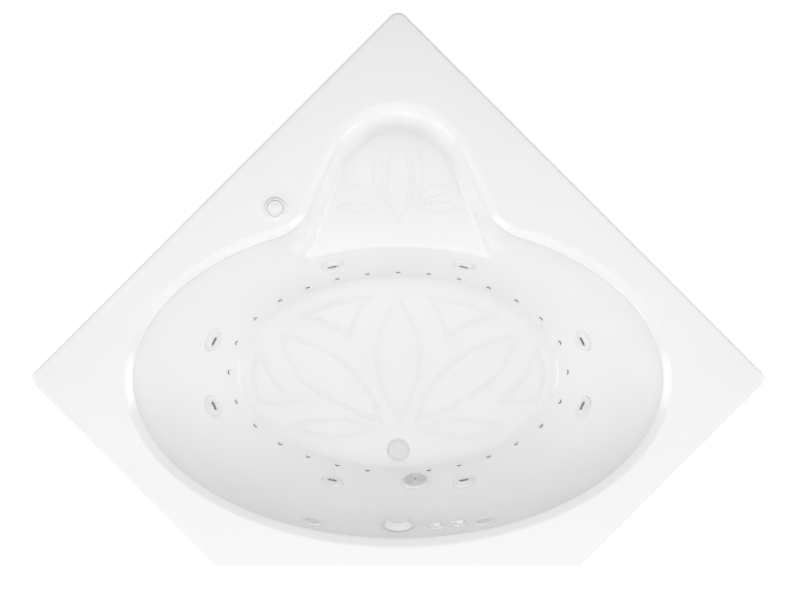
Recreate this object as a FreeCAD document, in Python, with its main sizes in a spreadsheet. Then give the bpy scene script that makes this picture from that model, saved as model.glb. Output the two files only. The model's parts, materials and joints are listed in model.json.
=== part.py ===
"""Corner bathtub: an acrylic jetted and air bath with its fittings, pipework, pump, blower,
support frame and levelling feet. Millimetres. X runs along the longest extent, the wall corner is
towards +Y, the cut-off front edge towards -Y, +Z is up and the feet stand on Z = 0."""
import FreeCAD, Part
import math
import os
import re

import Sketcher
from FreeCAD import Placement, Rotation, Vector

doc = FreeCAD.newDocument("corner_bathtub")

# ---------------------------------------------------------------- driving dimensions
SIZES = [
    ("deck_side", 1524, "wall side of the square deck, corner to corner"),
    ("deck_reach", 1627, "from the sharp wall corner to the cut-off front edge"),
    ("deck_height", 584, "top of the deck above the floor of the room"),
    ("deck_corner_radius", 33, "plan radius of the three wall-side corners"),
    ("front_corner_radius", 10, "plan radius of the two front corners"),
    ("deck_edge_radius", 12, "rounded-over edge of the deck"),
    ("skirt_drop", 38, "turned-down lip round the deck"),
    ("shell_wall", 6, "acrylic shell"),
    ("well_depth", 460, "deck to well floor"),
    ("well_half_length", 771, "well at deck level, along X"),
    ("well_half_width", 463, "well at deck level, along Y"),
    ("floor_half_length", 480, "flat floor and its corner, along X"),
    ("floor_half_width", 282, "flat floor and its corner, along Y"),
    ("floor_shift", 11, "floor centre lies this far behind the well centre"),
    ("wall_power", 1.4, "how the well wall curves in from rim to floor"),
    ("rim_radius", 24, "rounded rim of well and alcove"),
    ("floor_radius", 35, "floor to wall"),
    ("join_radius", 50, "well wall to alcove wall and seat front"),
    ("seat_radius", 40, "seat to alcove wall"),
    ("seat_depth", 250, "deck to seat"),
    ("alcove_radius", 199, "rear arch of the alcove at deck level"),
    ("alcove_reach", 571.7, "well centre to the arch centre at deck level"),
    ("alcove_flare", 25.6, "side walls of the alcove at deck level, degrees"),
    ("seat_arch_radius", 190, "rear arch at seat level"),
    ("seat_reach", 545.3, "well centre to the arch centre at seat level"),
    ("seat_flare", 20, "side walls of the alcove at seat level, degrees"),
    ("gasket_gauge", 2, "rubber gaskets behind the wall"),
    ("seat_sink", 0.5, "flat spot cut for a wall fitting, below the wall surface"),
    ("seat_margin", 1.5, "flat spot round a fitting's flange"),
    ("boss_margin", 8, "thickened ring behind a flat spot"),
    ("moving_gap", 0.3, "between a moving piece and what it moves beside"),
    ("fit_gap", 0.2, "between a fixed sleeve and its hole"),
    ("shaft_gap", 0.08, "radial play of a shaft in its bore"),
    ("jet_height", 119, "jets above the well floor"),
    ("jet_side_angle", 10, "side jets off the long axis, degrees"),
    ("jet_end_angle", 58.5, "front and rear jets off the long axis, degrees"),
    ("bezel_diameter", 66, "jet bezel"),
    ("bezel_rise", 6, "jet bezel above its flat spot"),
    ("fitting_flange", 58, "jet wall fitting flange under the bezel"),
    ("fitting_flange_gauge", 2.5, "its thickness"),
    ("fitting_sleeve", 44, "threaded sleeve of the wall fitting"),
    ("fitting_sleeve_depth", 34, "sleeve length behind the wall"),
    ("fitting_bore", 38, "its bore"),
    ("bezel_sleeve_depth", 16, "bezel sleeve inside the wall fitting"),
    ("nozzle_diameter", 31, "turning nozzle in the bezel"),
    ("nozzle_depth", 11, "nozzle below the flat spot"),
    ("nozzle_slot_length", 23, "dark recess in the nozzle"),
    ("nozzle_slot_width", 9, "its width"),
    ("nozzle_slot_depth", 3, "its depth"),
    ("nozzle_hole", 5, "water holes in the recess"),
    ("jet_body_diameter", 54, "jet body behind the wall"),
    ("jet_body_length", 56, "its length behind the gasket"),
    ("jet_body_wall", 4, "its wall"),
    ("air_port", 11, "air port on the jet body"),
    ("pressure_pipe_diameter", 33, "water ring behind the jets"),
    ("air_hose_diameter", 14, "air hose ring above the jets"),
    ("suction_angle", 81, "suction cover off the long axis, degrees"),
    ("suction_height", 85, "suction cover above the well floor"),
    ("suction_ring", 84, "white ring of the suction fitting"),
    ("suction_grille", 72, "grille"),
    ("grille_rise", 8, "grille above the flat spot"),
    ("grille_slot", 3.2, "slots of the grille"),
    ("grille_pitch", 6.4, "slot to slot"),
    ("suction_neck", 52, "neck through the wall"),
    ("suction_body_length", 60, "body behind the wall"),
    ("suction_pipe_diameter", 60.3, "pipe to the pump"),
    ("injector_count", 28, "equal steps round the floor, front one left out for the drain"),
    ("injector_height", 37, "injectors above the well floor"),
    ("injector_cap", 15, "cap"),
    ("injector_cap_rise", 3, "cap above the wall"),
    ("injector_stem", 6, "stem through the wall"),
    ("injector_nut", 12, "nut behind the wall"),
    ("channel_clear", 12, "air channel outside the floor corner"),
    ("channel_width", 46, "air channel, plan"),
    ("channel_rise", 56, "air channel height"),
    ("channel_wall", 3, "its wall"),
    ("channel_drop", 6, "channel below the shell floor"),
    ("light_angle", 58.8, "lights off the long axis, degrees"),
    ("light_drop", 86, "lights below the deck"),
    ("light_ring", 58, "light ring"),
    ("light_lens", 42, "lens"),
    ("light_neck", 34, "neck through the wall"),
    ("light_length", 40, "housing behind the wall"),
    ("control_drop", 101, "air controls below the deck"),
    ("control_angle_a", 75.3, "air control next to the overflow, degrees off the long axis"),
    ("control_angle_b", 67, "second air control"),
    ("control_base", 42, "air control base"),
    ("control_knob", 22, "knob"),
    ("control_lever", 20, "lever length from the axis"),
    ("control_neck", 24, "neck through the wall"),
    ("control_length", 40, "body behind the wall"),
    ("control_shaft", 9, "knob shaft"),
    ("overflow_drop", 120, "overflow below the deck"),
    ("overflow_knob_base", 86, "turn knob at the wall"),
    ("overflow_knob_face", 56, "its face"),
    ("overflow_knob_rise", 20, "its height"),
    ("overflow_flange", 66, "flange of the overflow body under the knob"),
    ("overflow_neck", 50, "neck through the wall"),
    ("overflow_length", 62, "body behind the wall"),
    ("overflow_shaft", 10, "knob shaft"),
    ("overflow_pipe_gap", 36, "overflow pipe axis outside the flat spot"),
    ("overflow_pipe_diameter", 40, "overflow pipe"),
    ("drain_inset", 44, "drain axis behind the floor's front corner"),
    ("drain_flange", 70, "drain flange"),
    ("drain_flange_rise", 2.4, "its height"),
    ("drain_neck", 52, "neck through the floor"),
    ("drain_bore", 46, "its bore"),
    ("drain_length", 46, "neck below the flat spot"),
    ("stopper_diameter", 60, "stopper"),
    ("stopper_rise", 4.5, "stopper thickness"),
    ("stopper_stem", 8, "stem"),
    ("stopper_lift", 12, "travel"),
    ("shoe_diameter", 64, "drain shoe"),
    ("waste_pipe_diameter", 48.3, "waste pipe and tail pipe"),
    ("waste_height", 72, "waste pipe axis above the room floor"),
    ("tail_clear", 8, "tail pipe above the room floor"),
    ("cable_diameter", 6, "stopper cable"),
    ("button_x", -356.4, "deck button"),
    ("button_y", 238.1, "deck button"),
    ("button_ring", 63, "ring on the deck"),
    ("button_ring_rise", 6.5, "its height"),
    ("button_cap", 46, "pressed disc"),
    ("button_travel", 3.8, "its travel"),
    ("button_neck", 30, "neck through the deck"),
    ("button_length", 42, "neck below the deck"),
    ("button_stem", 14, "plunger"),
    ("air_tube_diameter", 6, "tube from the button"),
    ("board_gauge", 18, "boards"),
    ("board_margin", 16, "base board inside the flat floor"),
    ("board_hole_margin", 12, "round the drain shoe"),
    ("tube_section", 30, "square frame tube"),
    ("tube_wall", 2, "its wall"),
    ("long_rail_reach", 930, "side posts from the middle"),
    ("side_rail_x", 430, "side rails and front posts"),
    ("front_post_y", 740, "front posts in front of the origin"),
    ("rear_rail_y", 20, "rear cross rail in front of the origin"),
    ("rear_post_y", 730, "rear post"),
    ("post_clear", 50, "underside of the posts above the room floor"),
    ("post_plate", 70, "top plates of the posts"),
    ("post_plate_gauge", 4, "their thickness"),
    ("post_plug", 14, "threaded plug in a post"),
    ("foot_diameter", 60, "levelling foot"),
    ("foot_rise", 12, "foot pad"),
    ("foot_stud", 12, "stud"),
    ("foot_stud_top", 96, "stud top above the room floor"),
    ("lock_nut", 20, "lock nut"),
    ("lock_nut_rise", 9, "its height"),
    ("equipment_x", 800, "pump and blower from the middle"),
    ("equipment_board_length", 250, "boards under pump and blower, along Y"),
    ("equipment_board_width", 190, "along X"),
    ("pump_axis_rise", 88, "pump axis above its board"),
    ("motor_diameter", 128, "motor"),
    ("motor_length", 160, "motor"),
    ("motor_wall", 4, "motor casing"),
    ("volute_diameter", 146, "volute"),
    ("volute_length", 58, "volute"),
    ("volute_wall", 5, "volute wall"),
    ("impeller_diameter", 118, "impeller"),
    ("impeller_gauge", 14, "impeller"),
    ("shaft_diameter", 14, "pump shaft"),
    ("heater_diameter", 60, "inline heater"),
    ("heater_length", 120, "inline heater"),
    ("heater_rise", 150, "heater axis above the pump axis"),
    ("blower_diameter", 160, "blower housing"),
    ("blower_height", 128, "blower housing"),
    ("blower_wall", 4, "blower wall"),
    ("fan_diameter", 120, "fan"),
    ("fan_height", 40, "fan"),
    ("fan_shaft", 8, "fan shaft"),
    ("blower_hose_diameter", 38, "hose from the blower"),
    ("control_box_length", 240, "control box along X"),
    ("control_box_width", 160, "along Y"),
    ("control_box_height", 90, "along Z"),
    ("control_box_y", 420, "control box behind the origin"),
]

sheet = doc.addObject("Spreadsheet::Sheet", "sizes")
for row, (name, number, meaning) in enumerate(SIZES, 1):
    sheet.set(f"A{row}", name)
    sheet.set(f"B{row}", str(number))
    sheet.set(f"C{row}", meaning)
    sheet.setAlias(f"B{row}", name)
doc.recompute()


class Sizes:
    """The sheet's values as attributes."""

    def __getattr__(self, name):
        return float(sheet.get(name))


s = Sizes()


# ---------------------------------------------------------------- helpers
def bind(text):
    """An expression in size names, as the sheet's aliases."""
    return re.sub(r"[a-z]\w*", lambda found: "sizes." + found.group(0), text)


def origin_plane(body, role):
    """One of a body's own origin planes."""
    return [item for item in body.Origin.OriginFeatures if item.Role == role][0]


def new_sketch(body, name, role):
    """An empty sketch on an origin plane of the body."""
    sketch = body.newObject("Sketcher::SketchObject", name)
    sketch.AttachmentSupport = [(origin_plane(body, role), "")]
    sketch.MapMode = "FlatFace"
    return sketch


def bound(sketch, kind, first, text, second=None):
    """A distance from the sketch origin, or a radius, that follows the sheet."""
    if kind == "Radius":
        index = sketch.addConstraint(Sketcher.Constraint(kind, first, 5.0))
    else:
        index = sketch.addConstraint(Sketcher.Constraint(kind, -1, 1, first, second, 5.0))
    name = f"{kind.lower()}_{index}"
    sketch.renameConstraint(index, name)
    sketch.setExpression("Constraints." + name, bind(text))


def turned(label, outline):
    """A body turned about Z from (radius, height) corners given as expressions."""
    body = doc.addObject("PartDesign::Body", label)
    sketch = new_sketch(body, label + "_outline", "XZ_Plane")
    count = len(outline)
    start = [Vector(60 + 30 * math.cos(2 * math.pi * k / count), 30 * math.sin(2 * math.pi * k / count), 0)
             for k in range(count)]
    for k in range(count):
        sketch.addGeometry(Part.LineSegment(start[k], start[(k + 1) % count]), False)
    for k in range(count):
        sketch.addConstraint(Sketcher.Constraint("Coincident", k, 2, (k + 1) % count, 1))
    for k, (radius, height) in enumerate(outline):
        for kind, text, axis in (("DistanceX", radius, -2), ("DistanceY", height, -1)):
            if text == "0":
                sketch.addConstraint(Sketcher.Constraint("PointOnObject", k, 1, axis))
            else:
                bound(sketch, kind, k, text, 1)
    turn = body.newObject("PartDesign::Revolution", label + "_turn")
    turn.Profile = sketch
    turn.ReferenceAxis = (sketch, ["V_Axis"])
    turn.Angle = 360
    return body


def round_pocket(body, name, radius, offset, height, depth, count=1):
    """A round pocket cut downwards from a height, repeated about Z."""
    sketch = new_sketch(body, name + "_outline", "XY_Plane")
    sketch.setExpression("AttachmentOffset.Base.z", bind(height))
    sketch.addGeometry(Part.Circle(Vector(5, 0, 0), Vector(0, 0, 1), 2), False)
    bound(sketch, "Radius", 0, radius)
    if offset == "0":
        sketch.addConstraint(Sketcher.Constraint("Coincident", 0, 3, -1, 1))
    else:
        bound(sketch, "DistanceX", 0, offset, 3)
        sketch.addConstraint(Sketcher.Constraint("PointOnObject", 0, 3, -1))
    doc.recompute()
    before = body.Shape.Volume
    pocket = body.newObject("PartDesign::Pocket", name)
    pocket.Profile = sketch
    pocket.setExpression("Length", bind(depth))
    doc.recompute()
    assert pocket.Shape.Volume < before - 1e-3, name + " cuts nothing"
    if count > 1:
        pattern = body.newObject("PartDesign::PolarPattern", name + "_round")
        pattern.Originals = [pocket]
        pattern.Axis = (sketch, ["N_Axis"])
        pattern.Angle = 360
        pattern.Occurrences = count
        body.Tip = pattern


def feature(label, shape, place=None):
    """A piece whose shape is worked out here."""
    item = doc.addObject("Part::Feature", label)
    item.Shape = shape
    if place is not None:
        item.Placement = place
    return item


def copies(body, places):
    """One compound of a body's shape at several places."""
    doc.recompute()
    base = body.Shape.copy()
    base.Placement = Placement()
    shapes = []
    for place in places:
        solid = base.copy()
        solid.Placement = place
        shapes.append(solid)
    return Part.makeCompound(shapes)


def group(label, body, places):
    """Like pieces in one node, as separate solids."""
    return feature(label, copies(body, places))


def cylinder(radius, low, high, place=None):
    """A cylinder along Z between two heights of a local frame."""
    solid = Part.makeCylinder(radius, high - low, Vector(0, 0, low))
    if place is not None:
        solid.Placement = place
    return solid


def box(low, high):
    """A box between two corners."""
    return Part.makeBox(high[0] - low[0], high[1] - low[1], high[2] - low[2], Vector(*low))


def rounded_path(points):
    """Straight runs joined by tangent arcs, each arc as large as its two runs allow."""
    edges = []
    start = points[0]
    radii = []
    for before, corner, after in zip(points, points[1:], points[2:]):
        back = before - corner
        ahead = after - corner
        half_turn = (math.pi - back.getAngle(ahead)) / 2
        radius = 0.45 * min(back.Length, ahead.Length) / math.tan(half_turn)
        reach = radius * math.tan(half_turn)
        radii.append(radius)
        back.normalize()
        ahead.normalize()
        middle = back + ahead
        middle.normalize()
        arc_start = corner + back * reach
        arc_end = corner + ahead * reach
        arc_middle = corner + middle * (radius / math.cos(half_turn) - radius)
        edges.append(Part.LineSegment(start, arc_start).toShape())
        edges.append(Part.Arc(arc_start, arc_middle, arc_end).toShape())
        start = arc_end
    edges.append(Part.LineSegment(start, points[-1]).toShape())
    return Part.Wire(edges), radii


def tube(label, points, diameter):
    """A solid round tube along a rounded path; its volume is compared with section times length."""
    wire, radii = rounded_path(points)
    section = Part.Wire([Part.makeCircle(diameter / 2, points[0], points[1] - points[0])])
    solid = wire.makePipeShell([section], True, False)
    expected = math.pi * diameter ** 2 / 4 * wire.Length
    error = abs(solid.Volume / expected - 1)
    print(f"{label}: length {wire.Length:.0f}, radii {[round(r) for r in radii]}, volume error {error:.4f}")
    assert error < 0.01, label
    return solid


def level_edges(shape, height):
    """Edges of a shape that lie flat at one height."""
    return [edge for edge in shape.Edges
            if abs(edge.BoundBox.ZMin - height) < 0.6 and abs(edge.BoundBox.ZMax - height) < 0.6]


# ---------------------------------------------------------------- deck and well
half_diagonal = s.deck_side / math.sqrt(2)
corner_trim = s.deck_corner_radius * (math.sqrt(2) - 1)
corner_y = (s.deck_reach + corner_trim) / 2
front_y = corner_y - s.deck_reach
centre_y = corner_y - half_diagonal
deck_top = s.deck_height
deck_under = deck_top - s.shell_wall
floor_top = deck_top - s.well_depth
floor_under = floor_top - s.shell_wall


def deck_outline(inset, height):
    """The deck's plan, set in by a distance."""
    diagonal_inset = inset * math.sqrt(2)
    top = corner_y - diagonal_inset
    side = half_diagonal - diagonal_inset
    front = front_y + inset
    front_x = side - (centre_y - front)
    corners = [Vector(0, top, height), Vector(-side, centre_y, height), Vector(-front_x, front, height),
               Vector(front_x, front, height), Vector(side, centre_y, height)]
    return Part.Wire(Part.makePolygon(corners + corners[:1]).Edges)


def deck_block(inset, low, high):
    """The deck's plan as a block with rounded upright corners."""
    block = Part.Face(deck_outline(inset, low)).extrude(Vector(0, 0, high - low))
    upright = [edge for edge in block.Edges if edge.BoundBox.ZLength > (high - low) / 2]
    rear = [edge for edge in upright if edge.BoundBox.YMin > centre_y - 1]
    block = block.makeFillet(max(s.deck_corner_radius - inset, 2), rear)
    front = [edge for edge in block.Edges if edge.BoundBox.ZLength > (high - low) / 2
             and edge.BoundBox.YMax < front_y + inset + 1 and edge.BoundBox.XLength < 1]
    return block.makeFillet(max(s.front_corner_radius - inset, 2), front)


def well_section(fraction, grow, depth):
    """The well's oval at a fraction of its depth."""
    share = fraction ** s.wall_power
    length = s.well_half_length - (s.well_half_length - s.floor_half_length) * share + grow
    width = s.well_half_width - (s.well_half_width - s.floor_half_width) * share + grow
    middle = Vector(0, centre_y + s.floor_shift * fraction, deck_top - depth * fraction)
    return length, width, middle


def well_loft(grow):
    """The well as a loft through ovals, from the deck to the floor."""
    depth = s.well_depth + grow
    steps = 5
    wires = []
    for step in range(steps + 1):
        length, width, middle = well_section(step / steps, grow, depth)
        wires.append(Part.Wire([Part.Ellipse(middle, length, width).toShape()]))
    well = Part.makeLoft(wires, True, False, False, 4)
    return well.makeFillet(s.floor_radius + grow, level_edges(well, deck_top - depth))


def arch_wire(radius, reach, flare, height):
    """The alcove's plan: a rear arch and two side walls that spread towards the well."""
    angle = math.radians(flare)
    arch_y = centre_y + reach
    open_y = centre_y + s.well_half_width / 3
    side_x = radius * math.cos(angle)
    side_y = arch_y + radius * math.sin(angle)
    open_x = side_x + (side_y - open_y) * math.tan(angle)
    arch = Part.Arc(Vector(-side_x, side_y, height), Vector(0, arch_y + radius, height),
                    Vector(side_x, side_y, height))
    right = Part.LineSegment(Vector(side_x, side_y, height), Vector(open_x, open_y, height))
    across = Part.LineSegment(Vector(open_x, open_y, height), Vector(-open_x, open_y, height))
    left = Part.LineSegment(Vector(-open_x, open_y, height), Vector(-side_x, side_y, height))
    return Part.Wire([item.toShape() for item in (arch, right, across, left)])


def alcove_loft(grow):
    """The seat alcove, from the deck to the seat."""
    seat = deck_top - s.seat_depth - grow
    upper = arch_wire(s.alcove_radius + grow, s.alcove_reach, s.alcove_flare, deck_top)
    lower = arch_wire(s.seat_arch_radius + grow, s.seat_reach, s.seat_flare, seat)
    alcove = Part.makeLoft([upper, lower], True, True)
    edges = [edge for edge in level_edges(alcove, seat) if edge.BoundBox.YMax > centre_y + s.well_half_width / 2]
    return alcove.makeFillet(s.seat_radius + grow, edges)


def hollow(grow, deck_level):
    """The open space of well and alcove, with everything above the deck; grown, it is the outside."""
    well = well_loft(grow)
    alcove = alcove_loft(grow)
    space = well.fuse(alcove)
    well_skin = well.Shells[0]
    alcove_skin = alcove.Shells[0]

    def on_both(edge):
        for share in (0.25, 0.5, 0.75):
            point = edge.valueAt(edge.FirstParameter + (edge.LastParameter - edge.FirstParameter) * share)
            spot = Part.Vertex(point)
            if spot.distToShape(well_skin)[0] > 0.05 or spot.distToShape(alcove_skin)[0] > 0.05:
                return False
        return True

    joins = [edge for edge in space.Edges if on_both(edge) and edge.BoundBox.ZMin < deck_top - 1]
    space = space.makeFillet(s.join_radius - grow, joins)
    sky = box((-s.deck_side, -s.deck_side, deck_level), (s.deck_side, s.deck_side, deck_top + 100))
    space = space.fuse(sky)
    rim = [edge for edge in level_edges(space, deck_level)
           if max(edge.BoundBox.XLength, edge.BoundBox.YLength) < 2 * s.deck_side - 1]
    return space.makeFillet(s.rim_radius - (deck_top - deck_level), rim)


cavity = hollow(0, deck_top)
outside = hollow(s.shell_wall, deck_under)
print("cavity", cavity.isValid(), "outside", outside.isValid())


def oval_value(point):
    """1 on the well wall, less inside and more outside."""
    length, width, middle = well_section((deck_top - point.z) / s.well_depth, 0, s.well_depth)
    return (point.x / length) ** 2 + ((point.y - middle.y) / width) ** 2


def surface_frame(angle, height, sink):
    """A local frame on the well wall: z along the wall's normal into the well, x level."""
    turn = math.radians(angle)
    fraction = (deck_top - height) / s.well_depth
    length, width, middle = well_section(fraction, 0, s.well_depth)
    centre = Vector(0, middle.y, height)
    ray = Part.makeLine(centre, centre + Vector(2 * length * math.cos(turn), 2 * length * math.sin(turn), 0))
    inside = ray.common(cavity)
    point = max((vertex.Point for vertex in inside.Vertexes), key=lambda p: (p - centre).Length)
    step = 0.5
    rise = (oval_value(point + Vector(0, 0, step)) - oval_value(point - Vector(0, 0, step))) / (2 * step)
    normal = -Vector(2 * point.x / length ** 2, 2 * (point.y - middle.y) / width ** 2, rise).normalize()
    level = Vector(0, 0, 1).cross(normal)
    rotation = Rotation(level, Vector(), normal, "ZXY")
    return Placement(point - normal * sink, rotation)


def wall_angle(from_long_axis, quarter):
    """An angle off the long axis in one of the four quarters of the well."""
    return {"rear_right": from_long_axis, "rear_left": 180 - from_long_axis,
            "front_left": 180 + from_long_axis, "front_right": -from_long_axis}[quarter]


QUARTERS = ("front_left", "front_right", "rear_left", "rear_right")
jet_level = floor_top + s.jet_height
jet_places = []
for off_axis in (s.jet_end_angle, s.jet_side_angle):
    for quarter in QUARTERS:
        jet_places.append(surface_frame(wall_angle(off_axis, quarter), jet_level, s.seat_sink))
suction_place = surface_frame(wall_angle(s.suction_angle, "front_right"),
                              floor_top + s.suction_height, s.seat_sink)
overflow_place = surface_frame(-90, deck_top - s.overflow_drop, s.seat_sink)
light_places = [surface_frame(wall_angle(s.light_angle, quarter), deck_top - s.light_drop, s.seat_sink)
                for quarter in ("front_left", "front_right")]
control_places = [surface_frame(-angle, deck_top - s.control_drop, s.seat_sink)
                  for angle in (s.control_angle_a, s.control_angle_b)]
button_place = Placement(Vector(s.button_x, s.button_y, deck_top), Rotation())
drain_y = centre_y + s.floor_shift - s.floor_half_width + s.drain_inset
drain_place = Placement(Vector(0, drain_y, floor_top - s.seat_sink), Rotation())


def injector_frames():
    """Equal steps along the oval at injector level, from the rear; the front step is left out."""
    height = floor_top + s.injector_height
    length, width, middle = well_section((deck_top - height) / s.well_depth, 0, s.well_depth)
    oval = Part.Ellipse(middle, length, width).toShape()
    count = int(s.injector_count)
    fine = oval.discretize(count * 40 + 1)[:-1]
    rear = max(range(len(fine)), key=lambda k: fine[k].y)
    frames = []
    for step in range(count):
        if step == count // 2:
            continue
        point = fine[(rear + step * 40) % len(fine)]
        angle = math.degrees(math.atan2(point.y - middle.y, point.x))
        frames.append(surface_frame(angle, height, s.seat_sink))
    return frames


injector_places = injector_frames()

# each wall fitting: its place, the diameter of its flange and of the hole through the shell
wall_fittings = [(place, s.bezel_diameter, s.fitting_sleeve) for place in jet_places]
wall_fittings.append((suction_place, s.suction_ring, s.suction_neck))
wall_fittings.append((overflow_place, s.overflow_knob_base, s.overflow_neck))
wall_fittings += [(place, s.light_ring, s.light_neck) for place in light_places]
wall_fittings += [(place, s.control_base, s.control_neck) for place in control_places]
wall_fittings.append((drain_place, s.drain_flange, s.drain_neck))


def tub_shell():
    """The moulded shell: deck with its turned-down edge, well, alcove and a flat spot per fitting."""
    deck = deck_block(0, deck_top - s.skirt_drop, deck_top)
    deck = deck.makeFillet(s.deck_edge_radius, level_edges(deck, deck_top))
    under = deck_block(s.shell_wall, deck_top - s.skirt_drop - 1, deck_under)
    under = under.makeFillet(s.deck_edge_radius - s.shell_wall, level_edges(under, deck_under))
    tray = deck.cut(under)
    bowl_block = box((-s.deck_side, -s.deck_side, 0), (s.deck_side, s.deck_side, deck_under))
    bowl = outside.common(bowl_block)
    bosses = []
    cuts = []
    for place, flange, hole in wall_fittings:
        bosses.append(cylinder(flange / 2 + s.boss_margin, -s.shell_wall, 0.5, place))
        cuts.append(cylinder(flange / 2 + s.seat_margin, 0, 40, place))
        cuts.append(cylinder(flange / 2 + s.seat_margin, -s.shell_wall - 12, -s.shell_wall, place))
        cuts.append(cylinder(hole / 2 + s.fit_gap, -40, 1, place))
    for place in injector_places:
        cuts.append(cylinder(s.injector_cap / 2 + s.fit_gap, 0, 12, place))
        cuts.append(cylinder(s.injector_stem / 2 + s.fit_gap, -30, 1, place))
    cuts.append(cylinder(s.button_neck / 2 + s.fit_gap, -20, 1, button_place))
    body = tray.fuse([bowl] + bosses)
    body = body.cut(cavity)
    return body.cut(cuts)


shell_shape = tub_shell()
print("shell", shell_shape.isValid(), len(shell_shape.Solids), round(shell_shape.Volume / 1e6, 2), "litres")
assert len(shell_shape.Solids) == 1, "tub_shell"
feature("tub_shell", shell_shape.Solids[0])

# ---------------------------------------------------------------- jets
for number, place in enumerate(jet_places, 1):
    bezel = turned(f"jet_bezel_{number}", [
        ("nozzle_diameter/2 + moving_gap", "-nozzle_depth - moving_gap"),
        ("nozzle_diameter/2 - 3", "-nozzle_depth - moving_gap"),
        ("nozzle_diameter/2 - 3", "-bezel_sleeve_depth"),
        ("fitting_bore/2 - moving_gap", "-bezel_sleeve_depth"),
        ("fitting_bore/2 - moving_gap", "fitting_flange_gauge + moving_gap"),
        ("fitting_flange/2 + moving_gap", "fitting_flange_gauge + moving_gap"),
        ("fitting_flange/2 + moving_gap", "moving_gap"),
        ("bezel_diameter/2", "moving_gap"),
        ("bezel_diameter/2", "bezel_rise*0.5"),
        ("bezel_diameter/2 - 1.5", "bezel_rise*0.85"),
        ("bezel_diameter/2 - 4", "bezel_rise"),
        ("bezel_diameter/2 - 7", "bezel_rise*0.8"),
        ("bezel_diameter/2 - 8.5", "bezel_rise*0.6"),
        ("nozzle_diameter/2 + 4", "bezel_rise*0.6"),
        ("nozzle_diameter/2 + 3", "bezel_rise*0.9"),
        ("nozzle_diameter/2 + moving_gap", "bezel_rise*0.9"),
    ])
    bezel.Placement = place
    nozzle = turned(f"jet_nozzle_{number}", [
        ("0", "-nozzle_depth"),
        ("nozzle_diameter/2", "-nozzle_depth"),
        ("nozzle_diameter/2", "bezel_rise*0.7"),
        ("nozzle_diameter/2 - 1.5", "bezel_rise*0.85"),
        ("0", "bezel_rise*0.85"),
    ])
    slot = new_sketch(nozzle, f"nozzle_slot_{number}", "XY_Plane")
    slot.setExpression("AttachmentOffset.Base.z", bind("bezel_rise*0.85"))
    half = (s.nozzle_slot_length - s.nozzle_slot_width) / 2
    radius = s.nozzle_slot_width / 2
    slot.addGeometry(Part.LineSegment(Vector(-half, radius, 0), Vector(half, radius, 0)), False)
    slot.addGeometry(Part.ArcOfCircle(Part.Circle(Vector(half, 0, 0), Vector(0, 0, 1), radius),
                                      -math.pi / 2, math.pi / 2), False)
    slot.addGeometry(Part.LineSegment(Vector(half, -radius, 0), Vector(-half, -radius, 0)), False)
    slot.addGeometry(Part.ArcOfCircle(Part.Circle(Vector(-half, 0, 0), Vector(0, 0, 1), radius),
                                      math.pi / 2, 3 * math.pi / 2), False)
    slot.addConstraint(Sketcher.Constraint("Tangent", 0, 2, 1, 2))
    slot.addConstraint(Sketcher.Constraint("Tangent", 1, 1, 2, 1))
    slot.addConstraint(Sketcher.Constraint("Tangent", 2, 2, 3, 2))
    slot.addConstraint(Sketcher.Constraint("Tangent", 3, 1, 0, 1))
    slot.addConstraint(Sketcher.Constraint("Horizontal", 0))
    slot.addConstraint(Sketcher.Constraint("Symmetric", 1, 3, 3, 3, -1, 1))
    bound(slot, "Radius", 1, "nozzle_slot_width/2")
    bound(slot, "DistanceX", 1, "nozzle_slot_length/2 - nozzle_slot_width/2", 3)
    pocket = nozzle.newObject("PartDesign::Pocket", f"nozzle_recess_{number}")
    pocket.Profile = slot
    pocket.setExpression("Length", bind("nozzle_slot_depth"))
    holes = new_sketch(nozzle, f"nozzle_holes_{number}", "XY_Plane")
    holes.setExpression("AttachmentOffset.Base.z", bind("bezel_rise*0.85"))
    for index, share in enumerate(("-0.5", "0", "0.5")):
        holes.addGeometry(Part.Circle(Vector(7 * float(share) * 2, 0, 0), Vector(0, 0, 1), 2), False)
        bound(holes, "Radius", index, "nozzle_hole/2")
        if share == "0":
            holes.addConstraint(Sketcher.Constraint("Coincident", index, 3, -1, 1))
        else:
            bound(holes, "DistanceX", index, share + "*(nozzle_slot_length - nozzle_slot_width)", 3)
            holes.addConstraint(Sketcher.Constraint("PointOnObject", index, 3, -1))
    drilled = nozzle.newObject("PartDesign::Pocket", f"nozzle_jets_{number}")
    drilled.Profile = holes
    drilled.setExpression("Length", bind("nozzle_depth + bezel_rise"))
    nozzle.Placement = place

wall_fitting = turned("jet_wall_fitting_pattern", [
    ("fitting_bore/2", "-fitting_sleeve_depth"),
    ("fitting_sleeve/2", "-fitting_sleeve_depth"),
    ("fitting_sleeve/2", "0"),
    ("fitting_flange/2", "0"),
    ("fitting_flange/2", "fitting_flange_gauge"),
    ("fitting_bore/2", "fitting_flange_gauge"),
])
group("jet_wall_fittings", wall_fitting, jet_places)

gasket_back = -s.shell_wall - s.gasket_gauge
jet_back = gasket_back - s.jet_body_length


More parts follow.
